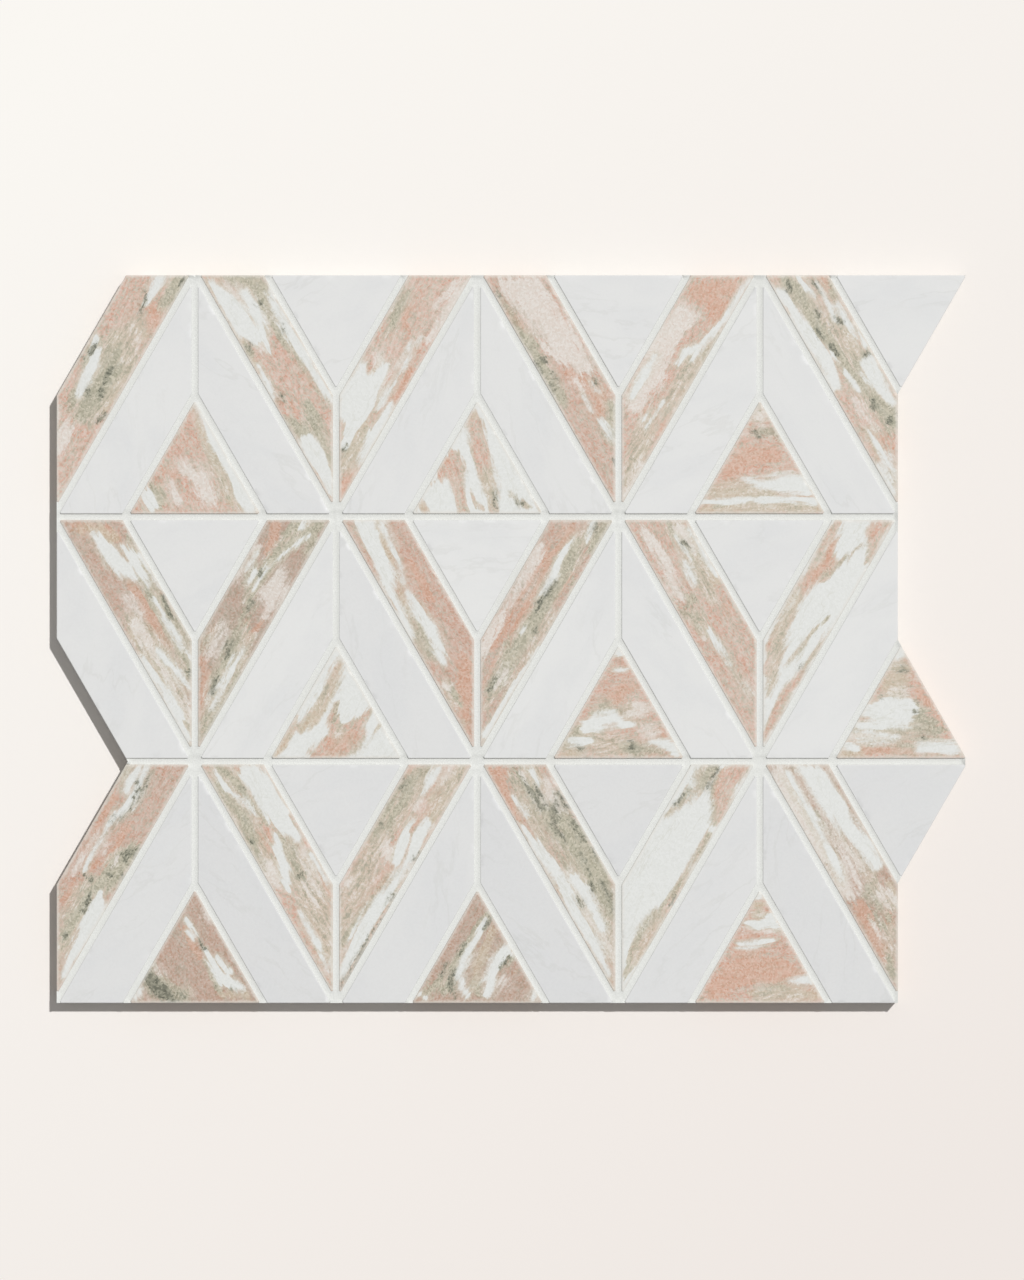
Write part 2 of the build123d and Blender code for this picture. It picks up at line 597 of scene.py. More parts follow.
def figure(name, fingers, tatters, soft, swell=0.0):
    """Mask of one kind of painted figure, torn along the grain and swollen by some millimetres."""
    values = {
        "Depth": maths(tree, "ADD", attribute(tree, name), swell),
        "Place": grain,
        "Seed": float(KINDS.index(name)),
        "Fingers": fingers,
        "Tatters": tatters,
        "Soft": faded(mist, soft),
        "Grain size": crystal_size,
    }
    return placed(tree, torn_figure, values)["Mask"]


# %% Ground of the rose marble
streaks = noise(tree, stretched(tree, grain, (0.1, 0.55, 0.55)), 1.0, 5.0, 0.65)
swells = noise(tree, stretched(tree, grain, (0.5, 1.0, 1.0)), 0.09, 2.0)
warmth = maths(tree, "MULTIPLY_ADD", swells, 0.9, maths(tree, "MULTIPLY", sugar["Tint"], 0.85))
warmth = maths(tree, "MULTIPLY_ADD", streaks, 1.5, warmth)
warmth = maths(tree, "SUBTRACT", maths(tree, "ADD", warmth, attribute(tree, "warmth")), 1.13)
mottle = noise(tree, stretched(tree, grain, (0.45, 1.0, 1.0)), 0.8, 4.0, 0.75)
colour = banded(warmth, (186, 181, 162), (198, 182, 163), (206, 177, 159), (209, 165, 144), (202, 148, 122))
colour = laid_on(colour, eased(tree, mottle, 0.49, 0.64), 0.5, linear(225, 211, 201))
colour = laid_on(colour, eased(tree, mottle, 0.5, 0.34), 0.65, linear(166, 147, 125))
colour = covered(tree, attribute(tree, "shade"), colour, linear(148, 130, 110))
colour = laid_on(colour, sugar["Light"], 0.35, linear(228, 212, 202))

# %% Figures of the rose marble
colour = laid_on(colour, figure("rust", 0.8, 0.4, 0.9), 0.6, sugared((200, 146, 116), (220, 184, 164)))
colour = laid_on(colour, figure("tan", 0.8, 0.5, 0.9), 0.75, sugared((190, 172, 146), (214, 203, 184)))
layers = noise(tree, stretched(tree, grain, (0.16, 0.7, 0.7)), 1.0, 5.0, 0.75)
layers = maths(tree, "SUBTRACT", eased(tree, layers, 0.28, 0.72), 0.25)
layers = maths(tree, "MULTIPLY_ADD", sugar["Tint"], 0.5, layers)
layered = banded(layers, (158, 156, 136), (186, 180, 160), (204, 191, 172), (216, 206, 193), (228, 226, 219))
colour = laid_on(colour, figure("veined", 0.8, 0.7, 1.6, 0.3), 0.8, layered)
olive = sugared((152, 150, 128), (204, 198, 178))
colour = laid_on(colour, figure("green", 0.8, 1.0, 1.0, 0.4), 0.8, olive)
colour = laid_on(colour, figure("haze", 0.9, 0.8, 1.4, 0.2), 0.85, sugared((219, 209, 199), (231, 227, 221)))
halo = sugared((196, 190, 170), (218, 212, 198))
colour = laid_on(colour, figure("white", 0.6, 0.2, 1.1, 0.9), 0.55, halo)
drawn_out = stretched(tree, grain, (0.2, 1.0, 1.0))
threads = placed(tree, hairline, {"Place": drawn_out, "Scale": 0.3, "Width": 0.025})["Mask"]
lens_white = laid_on(sugared((222, 223, 219), (229, 230, 227)), threads, 0.3, linear(196, 194, 178))
colour = covered(tree, figure("white", 0.6, 0.08, 0.6), colour, lens_white)
smoke = sugared((132, 134, 114), (176, 175, 156))
colour = laid_on(colour, figure("dark", 0.4, 0.7, 0.9, 0.5), 0.5, smoke)
colour = laid_on(colour, figure("dark", 0.4, 0.8, 0.4), 0.85, sugared((82, 84, 70), (156, 153, 134)))
finish_marble(
    colour,
    bloom_reach=2.8,
    bloom_share=0.6,
    bloom_colour=(226, 222, 214),
    dust_share=0.6,
    dust_colour=(172, 162, 150),
    sparkle=0.14,
    honed=0.42,
    sand=0.5,
)
told("rose marble", tree)

# %% [markdown]
# ## Grout and glass fibre
# Grout is cement with fine sand: matt, pitted and almost white, and dusty where it shows at the sides
# of the sheet. The mesh is spun glass with a film of glue, and its filaments show as fine lines that
# wind round each yarn, in relief and with painted shade in the grooves between them. The yarns store
# how far round and how far along a point lies, so those lines follow them.

# %% Grout material
def place_on_piece():
    """A place on the piece itself, in millimetres."""
    return stretched(tree, add(tree, "ShaderNodeTexCoord").outputs["Object"], (1 / MM, 1 / MM, 1 / MM))


grout_material, tree, shader = new_material("grout")
place = place_on_piece()
sand = placed(tree, crystals, {"Place": place, "Size": 0.5})["Sand"]
patches = eased(tree, noise(tree, place, 0.06, 3.0), 0.45, 0.7)
colour = covered(tree, eased(tree, sand, 0.3, 0.7), linear(221, 222, 218), linear(234, 235, 231))
colour = laid_on(colour, patches, 0.4, linear(223, 223, 218))
height = add(tree, "ShaderNodeSeparateXYZ", {0: place}).outputs[2]
dust = eased(tree, height, grout_height - 1.5, grout_height - 0.7, 1.0, 0.0)
colour = laid_on(colour, dust, 0.8, linear(174, 170, 162))
feed_shader(colour, maths(tree, "MULTIPLY_ADD", sand, 0.1, 0.85), sand, 0.7, 0.1)
told("grout", tree)

# %% Glass fibre material
glass_mesh, tree, shader = new_material("glass_mesh")
filaments_round_yarn = 14
turns_per_metre = 90
round_yarn = maths(tree, "MULTIPLY", attribute(tree, "round_yarn"), filaments_round_yarn)
winding = maths(tree, "MULTIPLY_ADD", attribute(tree, "along_yarn"), turns_per_metre, round_yarn)
filament_relief_and_groove_shade = maths(tree, "SINE", maths(tree, "MULTIPLY", winding, 2 * math.pi))
glue = eased(tree, noise(tree, place_on_piece(), 0.12, 3.0), 0.4, 0.6)
# Painted shade: the yarn is darker in the grooves between filaments and lighter on them, following the
# relief.
colour = covered(tree, eased(tree, filament_relief_and_groove_shade, -1.0, 1.0), linear(206, 206, 200), linear(232, 232, 228))
colour = laid_on(colour, glue, 0.4, linear(226, 220, 200))
feed_shader(colour, eased(tree, glue, 0.0, 1.0, 0.6, 0.3), filament_relief_and_groove_shade, 0.5, 0.05)
told("glass fibre", tree)

# %% [markdown]
# ## Blanks for the chips
# A blank is a chip before it is laid: flat on its back, its long side along X. A box that is cut and
# bevelled would do for the shape, but the veins are stored on vertices, so the face needs an even net
# of them. Delaunay triangles over a hexagonal grid of points give that, with clean straight borders.
# The same filling makes the grout, whose face has 54 windows in it.

# %% Points and distances in the plane
def ahead_of(loop):
    """A loop that starts one corner later, to pair each corner with the next."""
    return loop[1:] + loop[:1]


def divided(loop, counts):
    """A loop with each of its sides cut into a number of equal parts."""
    points = []
    for start, end, count in zip(loop, ahead_of(loop), counts):
        points += [start.lerp(end, step / count) for step in range(count)]
    return points


def parts_of(loop, spacing):
    """How many parts each side of a loop is cut into for a spacing."""
    return [max(1, round((end - start).length / spacing)) for start, end in zip(loop, ahead_of(loop))]


def distance_to(loop, points):
    """Distance from each point to the nearest side of a loop."""
    nearest = np.full(len(points), np.inf)
    for start, end in zip(loop, ahead_of(loop)):
        start, run = np.array(start), np.array(end - start)
        share = np.clip((points - start) @ run / (run @ run), 0, 1)
        nearest = np.minimum(nearest, np.linalg.norm(points - start - share[:, None] * run, axis=1))
    return nearest


def inside(loop, points):
    """Whether each point lies inside a loop."""
    odd = np.zeros(len(points), bool)
    for start, end in zip(loop, ahead_of(loop)):
        if start.y != end.y:
            between = (points[:, 1] < start.y) != (points[:, 1] < end.y)
            crossing = start.x + (points[:, 1] - start.y) * (end.x - start.x) / (end.y - start.y)
            odd ^= between & (points[:, 0] < crossing)
    return odd


def hexagonal(low, high, spacing):
    """Points of a hexagonal grid between two corners."""
    step = spacing * math.sqrt(3) / 2
    points = []
    for number in range(int((high[1] - low[1]) / step) + 1):
        start = low[0] + spacing / 2 * (number % 2)
        across = np.arange(start, high[0], spacing)
        points.append(np.column_stack([across, np.full(len(across), low[1] + number * step)]))
    return np.vstack(points)


def loose_points(loop, spacing):
    """Grid points inside a loop that keep half a spacing from its sides."""
    points = hexagonal(np.min(loop, axis=0), np.max(loop, axis=0), spacing)
    return points[inside(loop, points) & (distance_to(loop, points) > spacing / 2)]


# %% Closed solids from stacked loops
def filled(loops, loose):
    """Triangles of the first loop less the others: places, triangles, and the corners of each loop."""
    corners = [Vector(point) for loop in loops for point in loop] + [Vector(point) for point in loose]
    rings = []
    first = 0
    for loop in loops:
        rings.append(list(range(first, first + len(loop))))
        first += len(loop)
    places, _, faces, sources, _, owners = geometry.delaunay_2d_cdt(corners, [], rings, 1, 1e-7)
    number_of = {source: number for number, found in enumerate(sources) for source in found}
    kept = [face for face, owner in zip(faces, owners) if list(owner) == [0]]
    return places, kept, [[number_of[corner] for corner in ring] for ring in rings]


def closed_solid(levels, loose_top, loose_bottom):
    """A closed solid from levels, top first. A level is a height and its loops, the outer one first."""
    places = []
    faces = []
    rings = []
    for number, (height, loops) in enumerate(levels):
        first = len(places)
        if number in (0, len(levels) - 1):
            loose = loose_bottom if number else loose_top
            flat, triangles, corners = filled(loops, loose)
            turn = -1 if number else 1
            faces += [tuple(first + corner for corner in face)[::turn] for face in triangles]
        else:
            flat = [point for loop in loops for point in loop]
            counts = np.cumsum([0] + [len(loop) for loop in loops])
            corners = [list(range(start, end)) for start, end in zip(counts, counts[1:])]
        places += [(point[0], point[1], height) for point in flat]
        rings.append([[first + corner for corner in ring] for ring in corners])
    for upper, lower in zip(rings, rings[1:]):
        for number, (high, low) in enumerate(zip(upper, lower)):
            turn = -1 if number else 1
            for a, b, c, d in zip(high, low, ahead_of(low), ahead_of(high)):
                faces.append((a, b, c, d)[::turn])
    return np.array(places), faces


# %% Meshes with stored values
def mesh_of(name, places, faces):
    """A mesh from places in millimetres."""
    mesh = bpy.data.meshes.new(name)
    mesh.from_pydata((places * MM).tolist(), [], faces)
    return mesh


def store(mesh, name, values):
    """Stores one value, or one vector, for each vertex of a mesh."""
    vector = values.ndim == 2
    made = mesh.attributes.new(name, "FLOAT_VECTOR" if vector else "FLOAT", "POINT")
    made.data.foreach_set("vector" if vector else "value", values.astype(np.float32).ravel())


# %% Blanks
arris_steps = ((0.3, 0.0), (0.1, 0.1), (0.0, 0.3))
side_depths = (0.9, 3.6, 6.5, chip_thickness)
net = {"rose": 0.6, "white": 1.3}
coarser_back = 2.5


def blank(outline, spacing):
    """A chip with its face at height 0, and how far each vertex lies from its arris."""
    counts = parts_of(outline, spacing)
    levels = [(-drop, [divided(moved_in(outline, inset), counts)]) for inset, drop in arris_steps]
    levels += [(-drop, [divided(outline, counts)]) for drop in side_depths]
    face, back = levels[0][1][0], levels[-1][1][0]
    loose = loose_points(face, spacing), loose_points(back, coarser_back * spacing)
    places, faces = closed_solid(levels, *loose)
    mesh = mesh_of("blank", places, faces)
    store(mesh, "local", places)
    store(mesh, "edge", distance_to(outline, places[:, :2]) - places[:, 2])
    return mesh


blanks = {(stone, shape): blank(outlines[shape], net[stone]) for stone in net for shape in outlines}
for (stone, shape), mesh in blanks.items():
    print(f"{stone} {shape}: {len(mesh.vertices)} vertices")

# %% [markdown]
# ## Laying and wearing the chips
# Every chip is the same blank, laid 54 times, so a Geometry Nodes tree lays it: it turns and mirrors
# the blank, sets it on its seat, lets it lie a hair lower than its neighbours, and breaks small spalls
# out of its arris. The spalls come from noise over the sheet, so no two chips wear alike. The tree only
# takes stone away, and the chip stays inside its solid.

# %% Helpers for Geometry Nodes trees
def stored(tree, name):
    """A value that is stored on each point."""
    return add(tree, "GeometryNodeInputNamedAttribute", {"Name": name}, data_type="FLOAT").outputs[0]


def vector_from(tree, parts):
    """A vector from some of its parts, by number, with nothing for the others."""
    return add(tree, "ShaderNodeCombineXYZ", parts).outputs[0]


def parts_of_vector(tree, vector):
    """The three parts of a vector."""
    return add(tree, "ShaderNodeSeparateXYZ", {0: vector}).outputs


def position(tree):
    """The place of each point, in metres."""
    return add(tree, "GeometryNodeInputPosition").outputs[0]


def lifted(tree, shape, height):
    """A shape with every point lifted by a height, in metres."""
    offset = vector_from(tree, {2: height})
    return add(tree, "GeometryNodeSetPosition", {"Geometry": shape, "Offset": offset}).outputs[0]


def realised(tree, shape):
    """A shape whose instances are made real."""
    return add(tree, "GeometryNodeRealizeInstances", {"Geometry": shape}).outputs[0]


def end_tree(tree, shape, material, result):
    """Ends a tree: its instances made real, its material set, and its size told."""
    dressed = {"Geometry": realised(tree, shape), "Material": material}
    tree.links.new(add(tree, "GeometryNodeSetMaterial", dressed).outputs[0], result["Geometry"])
    told(tree.name, tree)


# %% The tree that lays a chip
SHAPE = "NodeSocketGeometry"
MATERIAL = "NodeSocketMaterial"
lay_chip, given, result = new_group(
    "lay chip",
    "GeometryNodeTree",
    {
        "Geometry": (SHAPE, None),
        "Seat": (PLACE, None),
        "Turn": (VALUE, 0.0),
        "Mirror": (VALUE, 1.0),
        "Lower": (VALUE, 0.0),
        "Spall depth": (VALUE, 0.0),
        "Spall reach": (VALUE, 0.8),
        "Stone": (MATERIAL, None),
    },
    {"Geometry": SHAPE},
)
worn_part = 0.5
scale = vector_from(lay_chip, {0: 1.0, 1: given["Mirror"], 2: 1.0})
turn = vector_from(lay_chip, {2: given["Turn"]})
spot = {"Geometry": given["Geometry"], "Translation": given["Seat"], "Rotation": turn, "Scale": scale}
laid = add(lay_chip, "GeometryNodeTransform", spot).outputs[0]
place = position(lay_chip)
place_mm = scaled(lay_chip, place, 1 / MM)
bites = eased(lay_chip, noise(lay_chip, place_mm, 0.22, 3.0, 0.6), 0.6, 0.72)
nibbles = eased(lay_chip, noise(lay_chip, place_mm, 0.9, 2.0, 0.6), 0.52, 0.7, 0.0, 0.35)
near_arris = eased(lay_chip, stored(lay_chip, "edge"), 0.0, given["Spall reach"], 1.0, 0.0)
broken = maths(lay_chip, "MULTIPLY", maths(lay_chip, "ADD", bites, nibbles), near_arris)
spall = maths(lay_chip, "MULTIPLY", broken, given["Spall depth"])
height = parts_of_vector(lay_chip, place)[2]
near_face = maths(lay_chip, "GREATER_THAN", height, (face_height - worn_part) * MM)
down = maths(lay_chip, "MULTIPLY", maths(lay_chip, "ADD", spall, given["Lower"]), near_face)
worn = lifted(lay_chip, laid, maths(lay_chip, "MULTIPLY", down, -MM))
end_tree(lay_chip, worn, given["Stone"], result)


# %% From a live tree to a plain mesh
def grown(name, mesh, tree, values):
    """A new object with the mesh that a Geometry Nodes tree makes from a mesh and named input values."""
    piece = bpy.data.objects.new(name, mesh)
    bpy.context.scene.collection.objects.link(piece)
    modifier = piece.modifiers.new(tree.name, "NODES")
    modifier.node_group = tree
    identifiers = {item.name: item.identifier for item in tree.interface.items_tree if item.in_out == "INPUT"}
    for label, value in values.items():
        modifier[identifiers[label]] = value
    evaluated = piece.evaluated_get(bpy.context.evaluated_depsgraph_get())
    plain = bpy.data.meshes.new_from_object(evaluated)
    piece.modifiers.clear()
    piece.data = plain
    plain.name = name
    return piece


def smoothed(mesh, sharpest, *spent):
    """Shades a mesh smooth but for its sharp edges, and drops stored values that are spent."""
    for name in spent:
        mesh.attributes.remove(mesh.attributes[name])
    mesh.shade_smooth()
    mesh.set_sharp_from_angle(angle=math.radians(sharpest))


def turned_out(mesh):
    """Turns the faces of a closed mesh out if mirroring has turned them in."""
    mesh.calc_loop_triangles()
    places = np.empty(3 * len(mesh.vertices))
    mesh.vertices.foreach_get("co", places)
    corners = np.empty(3 * len(mesh.loop_triangles), int)
    mesh.loop_triangles.foreach_get("vertices", corners)
    a, b, c = places.reshape(-1, 3)[corners.reshape(-1, 3)].transpose(1, 0, 2)
    if np.einsum("ij,ij->", a, np.cross(b, c)) < 0:
        mesh.flip_normals()


# %% [markdown]
# ## The figures of the rose stones
# Each stone's figures are painted as strokes, the way a decorator paints marble. A stroke is a row of
# knots: how far along the chip, how far across it, and half the stroke's width there, in millimetres.
# White strokes are lenses, haze is pale cloud, veined strokes are layered zones, and green, tan, rust
# and dark are the coloured figures. Where the ground is white, pink strokes are cut out of the white.
# A line may also give the grain's direction in degrees, how much warmer the pink is, and how much
# shade lies on it. The strokes were chosen chip by chip.

# %% Strokes on the rose trapezoids of the first row
painted = {
    "rose_trapezoid_r1_1": """
        veined 38,8,4 46,10,7 56,10,8 66,9,6 74,9,4; 86,3,2 96,4,2
        white 43,14,.8 49,14.5,1.6 55,15.3,2.2 60,17,1.5 64,19,.6
        white 83,9.3,.4 87,9.3,1.2 92,9.6,1.9 97,9.5,2
        haze 21,10,1 26,11,1.8 31,12,1.5; 31,17,1.2 34,18.5,1.5
        green 36,9,1.5 42,10,3.5 50,8.5,3.5 57,9,3 62,11,1.5; 38,14,1.5 42,16,1.2
        green 53,19,1 58,18.6,1.6 63,18,1.2; 86,4,2 92,4,2.5 97,2.5,1.5
        tan 43,4,2 60,5,3 66,12,3; 73,4,1.5 74,7,1
        dark 38,3.3,.8 41,2.3,.6; 46.5,7,.9 48,8,.6; 51.5,8.5,.5 56,9,.9; 43.5,11.5,.6 45.5,12,.5
        dark 58,18.3,.7 61,17.8,.6; 55,19.5,.5; 79.5,9.8,.3 84,10.6,.35 87,12,.25; 95.5,2.8,.6 97.5,2.5,.6
        rust 80,11,1 85,12,1.2; 78,4,2 83,5,2.5""",
    "rose_trapezoid_r1_2": """
        veined 26,6,2 32,5,3 38,3,2; 18,8.5,.8 30,10,1.8 40,11,1.5
        veined 64,16,1.5 74,15.5,2 82,16,3.5 90,14,4 95,9,3
        haze 66,8,1.5 75,9,5 84,8,5 90,6,3
        white 9,2.8,1.3 17,4.5,2.8 24,4.5,3.6 28,4,3.3; 49,2.2,.4 52,2.5,.7 62,3.3,.6
        white 70,8,2.5 75,6,3.5 82,6,3.8 88,4.5,2.5 95,3.3,1; 64,9,.5 72,11,1.5 80,12,2 86,11.5,1.2
        white 37,20,1 48,19.2,1.6 62,18.8,1.8 74,18.6,1.8 82,20,1
        green 30,6,2 34,4,2.3 38,3,1.5; 19,8.6,.5 30,9.5,1 40,11,.8; 66.5,3,1.1 69,3.2,1.4
        green 36,18.3,.6 50,17.3,.5 66,15.8,1 73,15,1 80,14.8,1.3; 80,16,1.5 85,18,2.3 90,15,2.5 93,10,2
        dark 45.5,3.9,.4 47.5,4.6,.5; 66.8,16,.4 68.5,16.2,.5; 80,14.8,.5; 67.5,3,.4 69,4,.4
        tan 45,1.6,.6 70,1.6,.5 96,2,.6
        rust 40,7,1 45,6,.8; 45,15.5,.8 52,16,.7; 93,7,1.2 97,4,1""",
    "rose_trapezoid_r1_3": """
        veined 17,6,1.5 24,7,2.5 31,7,1.5; 66,17,1.5 74,18,2 80,18,1.5
        haze 46,10,3 54,12,3.5 57,15,2.5
        white 19,2.8,.6 24,2.6,2 32,2.8,2.5 39,3,2 44,3.3,1
        white 24,10,1.5 30,11.5,2 37,13,5 44,12,4 50,12,2.2 56,12,1
        white 34,17,3 42,18,4 48,17.5,2.5 52,19,1.2; 41,6.2,.3 50,6.3,.8 60,6,.7 66,7.2,.5 71,6.3,.4
        haze 72,3,1 80,2.7,1.7 90,3.2,2 96,2.5,1.2; 50,15,1.5 58,9,1.2 60,7,1; 84,6,.6 94,5.5,.8
        tan 17,6,1.5 24,6.8,2 33,7.5,1.2
        green 21,9.3,.5 24,9.4,.4; 70,16.8,1 76,18,1.2 82,18.6,1
        dark 22,9.4,.25 24,9.4,.25
        rust 8,2,1 12,3,1.7 16,3,1.2; 46,3,1.5 52,2.5,1.5 60,3,1.2; 66,6,.8 68,7,.8
        rust 72,13,1.5 77,15,1.5""",
    "rose_trapezoid_r1_4": """
        shade .14
        warmth .06
        veined 22,13,1.5 30,16,2.5 36,18,2; 46,2.5,1.5 60,3,2.5 74,3,2
        green 46,3,1 53,3.2,1.7 62,3.2,2 70,3.4,1.6 77,2.8,.9 90,2.5,.6; 24.5,11,.7 28,10.8,.7
        green 26,14,.9 31,15.5,1.5 35,17.8,1.4
        dark 51,3,.6 53.5,3.2,.6; 54,4.8,.4 56,4.8,.4; 59,2.2,.7 63,2.2,.7; 62.5,4.5,.7
        dark 45.8,17,.6 47.3,17.5,.5
        dark 90,2,.4 92,2.4,.4; 17,8.7,.35 18.5,8.9,.3; 25,14,.4 27,13.8,.3
        white 24.5,12.6,.5 28,12.4,1.2 32.5,11.8,1; 38,10.2,.3 41,10,.5 44,10,.3; 43,16.3,.3 47,15.9,.3
        haze 52,17,2.5 62,14,5 74,13,6 86,12,6 92,7,3; 46,12,.8 50,11,1.2
        rust 36,13,2 40,17,2.5 46,14,3 54,10,2; 70,18.5,.6 75,17.5,.8; 75,4,1 82,2.5,1""",
    "rose_trapezoid_r1_5": """
        veined 8,2,1 16,4,2.5 26,6,3.5 34,8,3; 40,4,2 52,5,2.5 64,6,2.5
        haze 40,16,4 52,16,5 64,17,4.5 74,17,3.5
        white 40,17.5,.8 48,17.5,1.2 57,17.5,.8
        tan 10,2.5,1.2 18,3,2 27,4,2 32,6,1; 45,2,1 60,2,1.2 70,2.2,.8
        haze 7,1.5,.6 12,2,1 20,2,1; 38,14,2.5 48,15,4.2 60,16,4.2 70,16,3.6 76,13,2
        haze 58,12.5,1.5 66,13.5,1.5
        white 33,7.4,.3 40,7,.4 44,6.4,.3; 35,9.4,.5 40,8.9,.4; 58,9,.4 63,8.5,.7 67,6.5,.8
        white 62,5,.3 70,4.6,1 77,3.4,1.2 86,2.2,.8 97,1.7,.6
        rust 33,2.5,1 38,2.2,1.3; 37,10.4,.5 38.5,10.8,.4; 76,6,1.5 84,7,3.5 84,14,4 92,5,2.5
        green 66,3.2,.3 74,1.8,.4""",
    "rose_trapezoid_r1_6": """
        veined 30,14,3 40,12.5,3 52,12,3 62,12,3.5 74,10,3.5 86,9,3 94,7,2.5; 56,16,3 66,15,3 74,14,2
        veined 14,4,2
        white 9,2,.9 14,2.6,1.3 20,3,1.6; 15.5,6.6,.7 20,6.3,1.3 27,5.7,.9 32,5.3,.4
        white 47.5,9.6,.5 51,9.2,.7 55,8.4,.6; 52,2.7,1.2 57,4,2.6 63,4.8,3 72,3.8,2.5 82,3.4,1.9 91,3,1.8
        white 37,18.4,.6 42,17,1.8 48,16.6,2.8 53.5,16.4,2.8 55,18.5,1.5; 72,15.4,.4 80,15.2,.5 88,15.4,.5
        white 60,19.4,.8 67,19,1.1 71,17.8,1.5 77,17.8,1.3 78,16.3,.6; 84,13.2,.5 88,12,1.3 93,11.3,1
        haze 32,7,.4 44,6.8,.5
        green 31,14,2 36,13,2.5 44,12,1.5 52,11,1.5 58,10,1.5 63,10,1.5
        green 63,10,1.5 72,8.5,1.7 82,8,2 90,8,2.3 95,6,1.5
        green 29,12,1 34,16,1.5 38,15,1; 55,13,1 57,18.5,1.2; 81,18,1.2 83,20,1 86,20.5,.6
        tan 12,5,.5 22,4.5,.5 33,6,.6; 60,14.5,1.5 66,16.5,1.5
        dark 38.5,11.5,.5 41,12,.4; 31.5,13,.5 32.5,15,.4; 62,9.3,.4 66,8.7,.5; 70,7.6,.4 73,7.8,.7
        dark 77,10,.3 80,11,.25; 90.5,6,.5 93.5,6.8,.5; 71.5,16.2,.35 73.5,15.9,.4
        dark 85.5,14.6,.3 89,14.6,.25
        dark 57,18.5,.6; 71.5,13.3,.3
        rust 85,18,1 88.5,18.3,1.2; 23,9,1 28,9.5,1""",
}
print("strokes for", len(painted), "stones")

